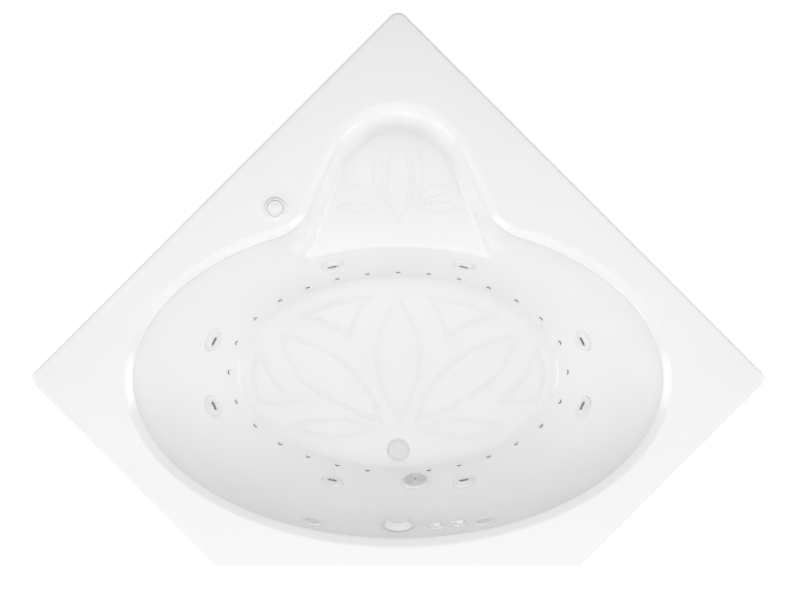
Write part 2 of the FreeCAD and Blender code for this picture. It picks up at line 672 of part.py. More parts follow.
def jet_body_shape():
    """Cup behind the wall that the wall fitting screws into, with an air port on its upper side."""
    outer = cylinder(s.jet_body_diameter / 2, jet_back, gasket_back)
    collar = cylinder(s.jet_body_diameter / 2 + 4, gasket_back - 5, gasket_back)
    port_axis = Placement(Vector(0, 0, gasket_back - 14), Rotation(Vector(0, 0, 1), Vector(0, 1, 0)))
    port_length = s.jet_body_diameter / 2 + 14
    port = cylinder(s.air_port / 2, 0, port_length, port_axis)
    bore = cylinder(s.fitting_sleeve / 2 + s.fit_gap, -s.fitting_sleeve_depth - 2, gasket_back)
    chamber = cylinder(s.jet_body_diameter / 2 - s.jet_body_wall, jet_back + s.jet_body_wall,
                       -s.fitting_sleeve_depth - 2)
    air_way = cylinder(s.air_port / 2 - 2, s.fitting_sleeve / 2 - 4, port_length + 1, port_axis)
    return outer.fuse([collar, port]).cut([bore, chamber, air_way])


def oval_through(first, second):
    """Half length and half width of the oval on the well's centre line through two points."""
    x1, y1 = first.x ** 2, (first.y - level_middle.y) ** 2
    x2, y2 = second.x ** 2, (second.y - level_middle.y) ** 2
    spread = x1 * y2 - x2 * y1
    return math.sqrt(spread / (y2 - y1)), math.sqrt(spread / (x1 - x2))


def ring_through(first, second, diameter):
    """A level ring of round tube through two points and their mirror images."""
    length, width = oval_through(first, second)
    oval = Part.Ellipse(Vector(0, level_middle.y, (first.z + second.z) / 2), length, width)
    path = Part.Wire([oval.toShape()])
    section = Part.Wire([Part.makeCircle(diameter / 2, oval.value(0), oval.tangent(0)[0])])
    return path.makePipeShell([section], True, False)


level_middle = well_section((deck_top - jet_level) / s.well_depth, 0, s.well_depth)[2]
end_jet, side_jet = jet_places[0], jet_places[4]
water_depth = gasket_back - s.jet_body_length * 0.6
water_points = [place.multVec(Vector(0, 0, water_depth)) for place in (side_jet, end_jet)]
water_ring = ring_through(water_points[0], water_points[1], s.pressure_pipe_diameter)
water_height = (water_points[0].z + water_points[1].z) / 2
air_points = [place.multVec(Vector(0, s.jet_body_diameter / 2 + 14, gasket_back - 14))
              for place in (side_jet, end_jet)]
air_ring = ring_through(air_points[0], air_points[1], s.air_hose_diameter)
jet_shape = jet_body_shape()
jet_solids = []
for place in jet_places:
    solid = jet_shape.copy()
    solid.Placement = place
    solid = solid.cut(air_ring)
    jet_solids.append(max(solid.Solids, key=lambda item: item.Volume))
jet_blocks = [cylinder(s.jet_body_diameter / 2, jet_back, gasket_back, place) for place in jet_places]
feature("jet_bodies", Part.makeCompound(jet_solids))
feature("jet_air_hose", air_ring)

# ---------------------------------------------------------------- suction fitting


def suction_cover_shape():
    """Domed grille: slots across it, a middle bar, a solid rim and one screw hole."""
    radius = s.suction_grille / 2 - s.moving_gap
    low = 3.5
    disc = cylinder(radius, low, s.grille_rise)
    disc = disc.makeFillet(s.grille_rise * 0.45, level_edges(disc, s.grille_rise))
    disc = disc.cut(cylinder(radius - 4, low, low + 2))
    reach = s.suction_grille / 2 - 6
    bar = 6
    rows = int(reach * 0.9 / s.grille_pitch)
    tools = [cylinder(2.7, 0, 20)]
    for row in range(-rows, rows + 1):
        y = row * s.grille_pitch
        half = math.sqrt(reach ** 2 - y ** 2)
        for left, right in ((-half, -bar), (bar, half)):
            tools.append(box((left, y - s.grille_slot / 2, 0), (right, y + s.grille_slot / 2, 20)))
    return disc.cut(Part.makeCompound(tools))


feature("suction_cover", suction_cover_shape(), suction_place)

suction_body = turned("suction_body", [
    ("suction_neck/2 - 4", "-suction_body_length"),
    ("suction_neck/2", "-suction_body_length"),
    ("suction_neck/2", "0"),
    ("suction_ring/2", "0"),
    ("suction_ring/2", "2.5"),
    ("suction_ring/2 - 2", "5"),
    ("suction_grille/2", "5"),
    ("suction_grille/2", "3.4"),
    ("suction_neck/2 - 4", "3.4"),
])
doc.recompute()
crossbar = box((-s.suction_neck / 2, -5, -8), (s.suction_neck / 2, 5, 3.4))
crossbar = crossbar.common(cylinder(s.suction_neck / 2 - 3, -8, 3.4)).cut(cylinder(2.1, -20, 10))
cap = cylinder(s.suction_neck / 2, -s.suction_body_length - 4, -s.suction_body_length)
suction_shape = suction_body.Shape.fuse([crossbar, cap])
doc.removeObject(suction_body.Name)
suction_end = suction_place.multVec(Vector(0, 0, -s.suction_body_length + 14))

screw = cylinder(2, -6, s.grille_rise)
screw_head = cylinder(4.5, s.grille_rise, s.grille_rise + 2.2)
screw_head = screw_head.makeFillet(1.5, level_edges(screw_head, s.grille_rise + 2.2))
screw_head = screw_head.cut([box((-3.2, -0.5, s.grille_rise + 1), (3.2, 0.5, s.grille_rise + 3)),
                             box((-0.5, -3.2, s.grille_rise + 1), (0.5, 3.2, s.grille_rise + 3))])
feature("cover_screw", screw.fuse(screw_head), suction_place)

# ---------------------------------------------------------------- air injectors and channel


def injector_shape():
    """Low domed cap with a gap on its upper side, on a hollow stem through the wall."""
    radius = s.injector_cap / 2
    cap = cylinder(radius, 0, s.injector_cap_rise)
    cap = cap.makeFillet(s.injector_cap_rise * 0.6, level_edges(cap, s.injector_cap_rise))
    stem = cylinder(s.injector_stem / 2, -s.shell_wall - 12, 1)
    gap = cylinder(radius - 1.6, 0.9, 1.9).cut(box((-radius, -radius, 0), (radius, radius * 0.2, 3)))
    mouth = box((-radius * 0.6, radius * 0.5, 0.9), (radius * 0.6, radius + 1, 1.9))
    bore = cylinder(s.injector_stem / 2 - 1.5, -s.shell_wall - 13, 1.2)
    rise = box((-1.2, 0, 0.9), (1.2, radius * 0.6, 1.9))
    return cap.fuse(stem).cut([gap, mouth, bore, rise])


def placed_copies(shape, places):
    """A compound of one shape at several places."""
    solids = []
    for place in places:
        solid = shape.copy()
        solid.Placement = place
        solids.append(solid)
    return Part.makeCompound(solids)


feature("air_injector_caps", placed_copies(injector_shape(), injector_places))
injector_nut = cylinder(s.injector_nut / 2, -s.shell_wall - 9, -s.shell_wall - 3.5)
injector_nut = injector_nut.cut(cylinder(s.injector_stem / 2 + 0.05, -30, 0))


def oval_block(length, width, low, high):
    """An upright oval block on the floor's centre; its side is in three faces that meet off the long axis."""
    oval = Part.Ellipse(Vector(0, centre_y + s.floor_shift, low), length, width)
    third = 2 * math.pi / 3
    arcs = [Part.Arc(oval, 0.6 + third * k, 0.6 + third * (k + 1)).toShape() for k in range(3)]
    return Part.Face(Part.Wire(arcs)).extrude(Vector(0, 0, high - low))


def air_channel_shape():
    """Hollow duct bonded under the wall all round the floor, open to the injectors."""
    inner_length = s.floor_half_length + s.channel_clear
    inner_width = s.floor_half_width + s.channel_clear
    low = floor_under - s.channel_drop
    high = low + s.channel_rise
    wall = s.channel_wall
    duct = oval_block(inner_length + s.channel_width, inner_width + s.channel_width, low, high)
    duct = duct.cut(oval_block(inner_length, inner_width, low - 1, high + 1))
    room = oval_block(inner_length + s.channel_width - wall, inner_width + s.channel_width - wall,
                      low + wall, high - wall)
    room = room.cut(oval_block(inner_length + wall, inner_width + wall, low, high))
    stub = Placement(Vector(inner_length + s.channel_width - wall, centre_y + s.floor_shift, (low + high) / 2),
                     Rotation(Vector(0, 0, 1), Vector(1, 0, 0)))
    port = cylinder(s.blower_hose_diameter / 2, 0, 30, stub)
    port_way = cylinder(s.blower_hose_diameter / 2 - 3, -4, 31, stub)
    duct = duct.cut(room).cut(well_loft(s.shell_wall)).fuse(port).cut(port_way)
    assert duct.Volume > 0 and duct.isValid(), "air channel"
    return max(duct.Solids, key=lambda item: item.Volume)


feature("air_channel", air_channel_shape())
channel_port = Vector(s.floor_half_length + s.channel_clear + s.channel_width - s.channel_wall + 30,
                      centre_y + s.floor_shift, floor_under - s.channel_drop + s.channel_rise / 2)

# ---------------------------------------------------------------- lights
lens = turned("light_lens_pattern", [
    ("0", "0.6"),
    ("light_lens/2 - 0.1", "0.6"),
    ("light_lens/2 - 0.1", "2.2"),
    ("light_lens/4", "3"),
    ("0", "3.2"),
])
group("light_lenses", lens, light_places)
light_housing = turned("light_housing_pattern", [
    ("0", "-light_length"),
    ("light_neck/2", "-light_length"),
    ("light_neck/2", "0"),
    ("light_ring/2", "0"),
    ("light_ring/2", "2"),
    ("light_ring/2 - 2.5", "4"),
    ("light_lens/2 + 1.5", "4"),
    ("light_lens/2", "2.8"),
    ("light_lens/2", "0.5"),
    ("light_neck/2 - 3", "0.5"),
    ("light_neck/2 - 3", "-light_length + 3"),
    ("0", "-light_length + 3"),
])
group("light_housings", light_housing, light_places)

# ---------------------------------------------------------------- air controls
control_body = turned("air_control_body_pattern", [
    ("0", "-control_length"),
    ("control_neck/2 - 4", "-control_length"),
    ("control_neck/2 - 4", "-control_length + 14"),
    ("control_neck/2", "-control_length + 14"),
    ("control_neck/2", "0"),
    ("control_base/2", "0"),
    ("control_base/2", "2"),
    ("control_base/2 - 2.5", "4.5"),
    ("control_shaft/2 + shaft_gap", "4.5"),
    ("control_shaft/2 + shaft_gap", "-14"),
    ("0", "-14"),
])
group("air_control_bodies", control_body, control_places)
for number, place in enumerate(control_places, 1):
    knob = turned(f"knob_core_{number}", [
        ("0", "-12"),
        ("control_shaft/2", "-12"),
        ("control_shaft/2", "4.5 + moving_gap"),
        ("control_knob/2", "4.5 + moving_gap"),
        ("control_knob/2", "11"),
        ("control_knob/2 - 2", "14"),
        ("0", "15"),
    ])
    doc.recompute()
    lever = box((0, -3, 6.5), (s.control_lever, 3, 11.5))
    tip = cylinder(3, 6.5, 11.5, Placement(Vector(s.control_lever, 0, 0), Rotation()))
    shape = knob.Shape.fuse([lever, tip]).removeSplitter()
    doc.removeObject(knob.Name)
    feature(f"air_control_knob_{number}", shape, place)

# ---------------------------------------------------------------- overflow, drain and waste
overflow_knob = turned("overflow_knob", [
    ("0", "-20"),
    ("overflow_shaft/2", "-20"),
    ("overflow_shaft/2", "3.5"),
    ("9", "3.5"),
    ("9", "13"),
    ("overflow_knob_base/2 - 12", "13"),
    ("overflow_knob_base/2 - 3", "0.8"),
    ("overflow_knob_base/2", "0.8"),
    ("overflow_knob_base/2", "4"),
    ("overflow_knob_face/2 + 1.5", "overflow_knob_rise - 1.5"),
    ("overflow_knob_face/2 - 1", "overflow_knob_rise"),
    ("0", "overflow_knob_rise"),
])
knob_turn = 150
overflow_knob.Placement = overflow_place.multiply(Placement(Vector(), Rotation(Vector(0, 0, 1), knob_turn)))
overflow_body = turned("overflow_body", [
    ("0", "-overflow_length"),
    ("overflow_neck/2", "-overflow_length"),
    ("overflow_neck/2", "0"),
    ("overflow_flange/2", "0"),
    ("overflow_flange/2", "2.5"),
    ("overflow_neck/2 - 4", "2.5"),
    ("overflow_neck/2 - 4", "-overflow_length + 5"),
    ("11", "-overflow_length + 5"),
    ("11", "2.5"),
    ("overflow_shaft/2 + shaft_gap", "2.5"),
    ("overflow_shaft/2 + shaft_gap", "-22"),
    ("0", "-22"),
])
overflow_body.Placement = overflow_place

drain_flange = turned("drain_flange", [
    ("drain_bore/2", "-drain_length"),
    ("drain_neck/2", "-drain_length"),
    ("drain_neck/2", "0"),
    ("drain_flange/2", "0"),
    ("drain_flange/2", "drain_flange_rise*0.4"),
    ("drain_flange/2 - 2.5", "drain_flange_rise"),
    ("drain_bore/2 + 2", "drain_flange_rise"),
    ("drain_bore/2", "drain_flange_rise - 2"),
    ("drain_bore/2", "-22"),
    ("stopper_stem/2 + shaft_gap", "-22"),
    ("stopper_stem/2 + shaft_gap", "-28"),
    ("drain_bore/2", "-28"),
])
round_pocket(drain_flange, "drain_ways", "5.5", "stopper_stem/2 + 9", "-22", "7", 6)
drain_flange.Placement = drain_place
stopper = turned("drain_stopper", [
    ("0", "-38"),
    ("stopper_stem/2", "-38"),
    ("stopper_stem/2", "-4"),
    ("drain_bore/2 - 1.5", "-2"),
    ("drain_bore/2 - 1.5", "drain_flange_rise + moving_gap"),
    ("stopper_diameter/2", "drain_flange_rise + moving_gap"),
    ("stopper_diameter/2", "drain_flange_rise + stopper_rise*0.6"),
    ("stopper_diameter/2 - 2.5", "drain_flange_rise + stopper_rise"),
    ("0", "drain_flange_rise + stopper_rise + 0.8"),
])
stopper.Placement = drain_place

drain_point = drain_place.Base
overflow_axis = overflow_place.multVec(Vector(0, 0, -s.overflow_pipe_gap))
tee_y = overflow_axis.y
shoe_low = s.waste_height - s.waste_pipe_diameter / 2 - 3


def waste_shapes():
    """Drain shoe with its pipe, the tee, the overflow pipe and the tail pipe, as glued pieces."""
    radius = s.waste_pipe_diameter / 2
    upright = Rotation()
    forward = Rotation(Vector(0, 0, 1), Vector(0, -1, 0))
    shoe_top = floor_top - s.seat_sink - s.shell_wall - s.gasket_gauge
    at_drain = Placement(Vector(drain_point.x, drain_point.y, 0), upright)
    shoe = cylinder(s.shoe_diameter / 2, shoe_low, shoe_top, at_drain)
    neck_low = drain_point.z - s.drain_length - s.fit_gap
    shoe = shoe.cut([cylinder(s.drain_neck / 2 + s.fit_gap, neck_low, shoe_top + 1, at_drain),
                     cylinder(s.drain_bore / 2, shoe_low + 4, neck_low, at_drain)])
    run_start = Placement(Vector(drain_point.x, drain_point.y - s.shoe_diameter / 2 - 4, s.waste_height), forward)
    tee_radius = radius + 4
    run_length = run_start.Base.y - (tee_y + tee_radius)
    run = cylinder(radius, 0, run_length, run_start).cut(cylinder(radius - 3, -1, run_length + 1, run_start))
    boss = cylinder(radius + 2, 0, s.shoe_diameter / 2 + 4,
                    Placement(Vector(drain_point.x, drain_point.y, s.waste_height), forward))
    shoe_bore = cylinder(s.drain_bore / 2, shoe_low + 4, shoe_top, at_drain)
    shoe = shoe.fuse(boss.cut(shoe_bore))
    shoe = shoe.cut(cylinder(radius - 3, 0, s.shoe_diameter, Placement(
        Vector(drain_point.x, drain_point.y, s.waste_height), forward)))
    shoe = shoe.cut(cylinder(s.drain_neck / 2 + s.fit_gap, neck_low, shoe_top + 1, at_drain))
    at_tee = Placement(Vector(overflow_axis.x, tee_y, 0), upright)
    tee_low = s.waste_height - tee_radius + 6
    tee_high = s.waste_height + tee_radius + 6
    tee = cylinder(tee_radius, tee_low, tee_high, at_tee).cut(cylinder(radius - 3, tee_low - 1, tee_high + 1, at_tee))
    tee = tee.cut(cylinder(radius - 3, 0, run_length + 60, run_start))
    tail = cylinder(radius, s.tail_clear, tee_low, at_tee).cut(cylinder(radius - 3, 0, tee_low + 1, at_tee))
    rise = s.overflow_pipe_diameter / 2
    riser = cylinder(rise, tee_high, overflow_axis.z, at_tee)
    riser = riser.cut(cylinder(rise - 3, tee_high - 1, overflow_axis.z + 40, at_tee))
    riser = riser.cut(cylinder(s.overflow_neck / 2, -s.overflow_length, 0, overflow_place))
    pieces = [max(item.Solids, key=lambda piece: piece.Volume) for item in (shoe, run, tee, tail, riser)]
    return Part.makeCompound(pieces)


feature("waste_pipes", waste_shapes())

# ---------------------------------------------------------------- gaskets behind the wall


def gasket_ring(place, hole, width):
    """One rubber ring between the shell and the body behind it."""
    inner = hole / 2 + s.fit_gap
    back = cylinder(inner + width, gasket_back, -s.shell_wall, place)
    return back.cut(cylinder(inner, gasket_back - 1, 0, place))


gaskets = [gasket_ring(place, s.fitting_sleeve, 7) for place in jet_places]
gaskets.append(gasket_ring(suction_place, s.suction_neck, 7))
gaskets.append(gasket_ring(overflow_place, s.overflow_neck, 7))
gaskets += [gasket_ring(place, s.light_neck, 6) for place in light_places]
gaskets += [gasket_ring(place, s.control_neck, 6) for place in control_places]
gaskets.append(gasket_ring(drain_place, s.drain_neck, 5))
feature("fitting_gaskets", Part.makeCompound(gaskets))


def lock_ring(place, hole, width, gauge):
    """One nut that clamps a fitting from behind."""
    inner = hole / 2 + 0.1
    ring = cylinder(inner + width, gasket_back - gauge, gasket_back, place)
    return ring.cut(cylinder(inner, gasket_back - gauge - 1, 0, place))


rings = [lock_ring(suction_place, s.suction_neck, 7, 9)]
rings.append(lock_ring(overflow_place, s.overflow_neck, 7, 7))
rings += [lock_ring(place, s.light_neck, 6, 7) for place in light_places]
rings += [lock_ring(place, s.control_neck, 6, 7) for place in control_places]
rings += placed_copies(injector_nut, injector_places).Solids
feature("fitting_nuts", Part.makeCompound(rings))

# ---------------------------------------------------------------- deck push button
button_housing = turned("button_housing", [
    ("button_stem/2 + shaft_gap", "-button_length"),
    ("button_neck/2", "-button_length"),
    ("button_neck/2", "0"),
    ("button_ring/2", "0"),
    ("button_ring/2", "2.5"),
    ("button_ring/2 - 3", "button_ring_rise"),
    ("button_cap/2 + 2", "button_ring_rise"),
    ("button_cap/2 + moving_gap", "button_ring_rise - 1.5"),
    ("button_cap/2 + moving_gap", "1.2"),
    ("button_stem/2 + shaft_gap", "1.2"),
])
button_housing.Placement = button_place
button = turned("deck_button", [
    ("0", "-button_length + button_travel + 6"),
    ("button_stem/2", "-button_length + button_travel + 6"),
    ("button_stem/2", "1.3 + button_travel"),
    ("button_cap/2", "1.3 + button_travel"),
    ("button_cap/2", "button_ring_rise"),
    ("button_cap/2 - 2", "button_ring_rise + 2"),
    ("button_cap/2 - 6", "button_ring_rise + 2.4"),
    ("button_cap/2 - 7.5", "button_ring_rise + 1.6"),
    ("button_cap/4 + 1", "button_ring_rise + 1.9"),
    ("button_cap/4 - 1", "button_ring_rise + 2.9"),
    ("0", "button_ring_rise + 3.2"),
])
button.Placement = button_place

# ---------------------------------------------------------------- boards and frame
board_top = floor_under
frame_top = board_top - s.board_gauge
equipment_top = frame_top + s.board_gauge


def boards():
    """Base board under the floor, and a board each for pump, blower and control box."""
    margin = s.board_margin + s.floor_radius
    base = oval_block(s.floor_half_length - margin, s.floor_half_width - margin, frame_top, board_top)
    shoe_room = cylinder(s.shoe_diameter / 2 + s.board_hole_margin, frame_top - 1, board_top + 1,
                         Placement(Vector(drain_point.x, drain_point.y, 0), Rotation()))
    return base.cut(shoe_room)


feature("base_board", boards())
half_board = s.equipment_board_length / 2
half_board_x = s.equipment_board_width / 2
pads = [box((side * s.equipment_x - half_board_x, centre_y - half_board, frame_top),
            (side * s.equipment_x + half_board_x, centre_y + half_board, equipment_top)) for side in (-1, 1)]
box_margin = 20
pads.append(box((-s.control_box_length / 2 - box_margin, s.control_box_y - s.control_box_width / 2 - box_margin,
                 frame_top),
                (s.control_box_length / 2 + box_margin, s.control_box_y + s.control_box_width / 2 + box_margin,
                 equipment_top)))
feature("equipment_boards", Part.makeCompound(pads))


def square_tube(start, end):
    """A square hollow tube between two points along X, Y or Z, centred on the line."""
    half = s.tube_section / 2
    run = end - start
    along = [abs(value) > 1 for value in (run.x, run.y, run.z)]
    low = [min(a, b) for a, b in zip(start, end)]
    high = [max(a, b) for a, b in zip(start, end)]
    outer_low = [value if flag else value - half for value, flag in zip(low, along)]
    outer_high = [value if flag else value + half for value, flag in zip(high, along)]
    inner = half - s.tube_wall
    inner_low = [value - 1 if flag else value - inner for value, flag in zip(low, along)]
    inner_high = [value + 1 if flag else value + inner for value, flag in zip(high, along)]
    return box(outer_low, outer_high).cut(box(inner_low, inner_high))


half_tube = s.tube_section / 2
rail_z = frame_top - half_tube
front_y_post = -s.front_post_y
rear_rail_y = -s.rear_rail_y
rails = [square_tube(Vector(-s.long_rail_reach + half_tube, centre_y, rail_z),
                     Vector(s.long_rail_reach - half_tube, centre_y, rail_z)),
         square_tube(Vector(-s.side_rail_x - half_tube, rear_rail_y, rail_z),
                     Vector(s.side_rail_x + half_tube, rear_rail_y, rail_z)),
         square_tube(Vector(0, rear_rail_y + half_tube, rail_z), Vector(0, s.rear_post_y - half_tube, rail_z))]
for side in (-1, 1):
    x = side * s.side_rail_x
    rails.append(square_tube(Vector(x, front_y_post + half_tube, rail_z), Vector(x, centre_y - half_tube, rail_z)))
    rails.append(square_tube(Vector(x, centre_y + half_tube, rail_z), Vector(x, rear_rail_y - half_tube, rail_z)))

post_spots = [Vector(-s.long_rail_reach, centre_y, 0), Vector(s.long_rail_reach, centre_y, 0),
              Vector(-s.side_rail_x, front_y_post, 0), Vector(s.side_rail_x, front_y_post, 0),
              Vector(0, s.rear_post_y, 0)]
stud_bore = s.foot_stud / 2 + s.shaft_gap


def post(spot):
    """An upright square tube with a top plate under the deck and a threaded plug at its foot."""
    plate_low = deck_under - s.post_plate_gauge
    shaft = square_tube(spot + Vector(0, 0, s.post_clear), spot + Vector(0, 0, plate_low))
    half = s.post_plate / 2
    plate = box((spot.x - half, spot.y - half, plate_low), (spot.x + half, spot.y + half, deck_under))
    plug = box((spot.x - half_tube + s.tube_wall, spot.y - half_tube + s.tube_wall, s.post_clear),
               (spot.x + half_tube - s.tube_wall, spot.y + half_tube - s.tube_wall, s.post_clear + s.post_plug))
    plug = plug.cut(cylinder(stud_bore, s.post_clear - 1, s.post_clear + s.post_plug + 1,
                             Placement(spot, Rotation())))
    return shaft.fuse([plate, plug]).removeSplitter()


feature("support_frame", Part.makeCompound(rails + [post(spot) for spot in post_spots]))

for number, spot in enumerate(post_spots, 1):
    foot = turned(f"levelling_foot_{number}", [
        ("0", "0"),
        ("foot_diameter/2 - 1", "0"),
        ("foot_diameter/2", "1.5"),
        ("foot_diameter/2", "foot_rise*0.4"),
        ("foot_diameter/4", "foot_rise"),
        ("foot_stud/2", "foot_rise"),
        ("foot_stud/2", "foot_stud_top - 1"),
        ("foot_stud/2 - 1", "foot_stud_top"),
        ("0", "foot_stud_top"),
    ])
    foot.Placement = Placement(spot, Rotation())


def hexagon(flats, low, high):
    """An upright hexagonal block."""
    corner = flats / math.sqrt(3)
    points = [Vector(corner * math.cos(math.radians(60 * k)), corner * math.sin(math.radians(60 * k)), low)
              for k in range(6)]
    return Part.Face(Part.makePolygon(points + points[:1])).extrude(Vector(0, 0, high - low))


lock_nut = hexagon(s.lock_nut, s.post_clear - s.lock_nut_rise, s.post_clear)
lock_nut = lock_nut.cut(cylinder(stud_bore, 0, s.post_clear + 1))
feature("foot_lock_nuts", placed_copies(lock_nut, [Placement(spot, Rotation()) for spot in post_spots]))

# ---------------------------------------------------------------- pump
pump_z = equipment_top + s.pump_axis_rise
pump_axis = Rotation(Vector(0, 0, 1), Vector(0, -1, 0))
motor_rear = centre_y + half_board - 5
volute_rear = motor_rear - s.motor_length
pump_place = Placement(Vector(-s.equipment_x, volute_rear, pump_z), pump_axis)


def motor_shape():
    """Closed casing behind the volute, hollow round the rotor, on two cast feet."""
    radius = s.motor_diameter / 2
    casing = cylinder(radius, -s.motor_length, 0)
    casing = casing.makeFillet(8, level_edges(casing, -s.motor_length))
    ribs = []
    for k in range(12):
        rib = box((radius - 2, -1.5, -s.motor_length + 30), (radius + 4, 1.5, -30))
        rib.rotate(Vector(), Vector(0, 0, 1), 30 * k + 15)
        ribs.append(rib)
    casing = casing.fuse(ribs)
    casing = casing.cut([cylinder(radius - s.motor_wall, -s.motor_length + 8, -8),
                         cylinder(s.shaft_diameter / 2 + s.shaft_gap, -9, 1)])
    casing.Placement = pump_place
    feet = []
    for rear in (30, s.motor_length - 45):
        low = Vector(-s.equipment_x - radius * 0.8, volute_rear + rear, equipment_top)
        foot = box(low, (low.x + radius * 1.6, low.y + 15, pump_z - radius * 0.5))
        feet.append(foot.cut(cylinder(radius - 1, -s.motor_length, 0, pump_place)))
    return casing.fuse(feet)


feature("pump_motor", motor_shape())


def volute_shape():
    """Hollow wet end: inlet along the axis, outlet upwards."""
    radius = s.volute_diameter / 2
    wall = s.volute_wall
    body = cylinder(radius, 0, s.volute_length)
    body = body.makeFillet(6, level_edges(body, s.volute_length))
    inlet = cylinder(s.suction_pipe_diameter / 2 + 4, s.volute_length - 7, s.volute_length + 26)
    up = Placement(Vector(0, 0, s.volute_length / 2), Rotation(Vector(0, 0, 1), Vector(0, 1, 0)))
    outlet_radius = s.pressure_pipe_diameter / 2
    outlet = cylinder(outlet_radius + 4, radius - 12, radius + 24, up)
    body = body.fuse([inlet, outlet])
    body = body.cut([cylinder(radius - wall, wall, s.volute_length - wall),
                     cylinder(s.suction_pipe_diameter / 2 + 0.1, s.volute_length + 2, s.volute_length + 30),
                     cylinder(s.suction_pipe_diameter / 2 - 4, s.volute_length - 20, s.volute_length + 30),
                     cylinder(outlet_radius - 3, radius - 20, radius + 30, up),
                     cylinder(outlet_radius + 0.1, radius + 6, radius + 30, up),
                     cylinder(s.shaft_diameter / 2 + s.shaft_gap, -1, wall + 1)])
    return body


feature("pump_volute", volute_shape(), pump_place)

impeller = cylinder(s.impeller_diameter / 2, s.volute_wall + 4, s.volute_wall + 4 + s.impeller_gauge)
vane_height = 12
vanes = []
for k in range(6):
    vane = box((14, -2, s.volute_wall + 4 + s.impeller_gauge - 1),
               (s.impeller_diameter / 2 - 3, 2, s.volute_wall + 4 + s.impeller_gauge + vane_height))
    vane.rotate(Vector(), Vector(0, 0, 1), 60 * k)
    vanes.append(vane)
pump_shaft = cylinder(s.shaft_diameter / 2, -s.motor_length + 14, s.volute_wall + 10)
rotor = cylinder(s.motor_diameter / 4, -s.motor_length + 40, -35)
feature("pump_impeller", impeller.fuse([pump_shaft, rotor] + vanes), pump_place)

# ---------------------------------------------------------------- water and air pipes
suction_front = pump_place.multVec(Vector(0, 0, s.volute_length + 2))
pipe_clear = s.suction_pipe_diameter / 2 + 6
pipe_length = s.floor_half_length + s.channel_clear + s.channel_width + pipe_clear
pipe_width = s.floor_half_width + s.channel_clear + s.channel_width + pipe_clear
pipe_z = frame_top + s.suction_pipe_diameter / 2 + 6


def beside_channel(angle, rise=0):
    """A point outside the air channel."""
    turn = math.radians(angle)
    return Vector(pipe_length * math.cos(turn), centre_y + s.floor_shift + pipe_width * math.sin(turn), pipe_z + rise)


suction_points = [suction_end, Vector(suction_end.x - 60, suction_end.y - 22, (suction_end.z + pipe_z) / 2)]
suction_points += [beside_channel(angle) for angle in (-106, -122, -137, -151)]
suction_points += [Vector(suction_front.x + 70, suction_front.y - 125, pipe_z + 22),
                   Vector(suction_front.x, suction_front.y - 110, suction_front.z),
                   suction_front]
suction_tube = tube("suction_pipe", suction_points, s.suction_pipe_diameter)
body_block = cylinder(s.suction_neck / 2, -s.suction_body_length - 4, 5, suction_place)
suction_tube = suction_tube.cut(body_block)
feature("suction_pipe", max(suction_tube.Solids, key=lambda item: item.Volume))
feature("suction_body", suction_shape, suction_place)

heater_z = pump_z + s.heater_rise
outlet = pump_place.multVec(Vector(0, s.volute_diameter / 2 + 6, s.volute_length / 2))
heater_front = Vector(outlet.x, outlet.y + 60, heater_z)
heater_rear = heater_front + Vector(0, s.heater_length, 0)
heater_axis = Placement(heater_front, Rotation(Vector(0, 0, 1), Vector(0, 1, 0)))
heater = cylinder(s.heater_diameter / 2, 0, s.heater_length)
heater = heater.makeFillet(6, [edge for edge in heater.Edges if edge.Closed and edge.BoundBox.ZLength < 0.1])
heater = heater.cut([cylinder(s.heater_diameter / 2 - 4, 4, s.heater_length - 4),
                     cylinder(s.pressure_pipe_diameter / 2 - 3, -1, s.heater_length + 1)])
terminals = box((-14, s.heater_diameter / 2 - 3, 30), (14, s.heater_diameter / 2 + 16, s.heater_length - 30))
heater = heater.fuse(terminals.cut(cylinder(s.heater_diameter / 2 - 3, 0, s.heater_length)))
feature("inline_heater", heater, heater_axis)

riser = tube("pump outlet pipe", [outlet, Vector(outlet.x, outlet.y, heater_z), heater_front],
             s.pressure_pipe_diameter)
ring_join_angle = math.radians(140)
ring_length, ring_width = oval_through(*water_points)
ring_join = Vector(ring_length * math.cos(ring_join_angle),
                   level_middle.y + ring_width * math.sin(ring_join_angle), water_height)
feed_turn = Vector(heater_rear.x, heater_rear.y + 75, heater_z)
feed_side = ring_join + Vector(-110, 60, 40)
feed = tube("ring feed pipe", [heater_rear, feed_turn, feed_side, ring_join], s.pressure_pipe_diameter - 1)
water_pipes = [riser]
for piece in water_ring.cut(jet_blocks).Solids:
    middle = piece.CenterOfMass
    front_stretch = middle.y < level_middle.y and abs(middle.x) < s.suction_ring
    print("water ring piece", [round(value) for value in middle], "left out" if front_stretch else "")
    if not front_stretch:
        water_pipes.append(piece)
feed = feed.cut(water_ring)
water_pipes.append(max(feed.Solids, key=lambda item: item.Volume))
feature("pressure_pipe", Part.makeCompound(water_pipes))

# ---------------------------------------------------------------- blower
blower_place = Placement(Vector(s.equipment_x, centre_y, equipment_top), Rotation())


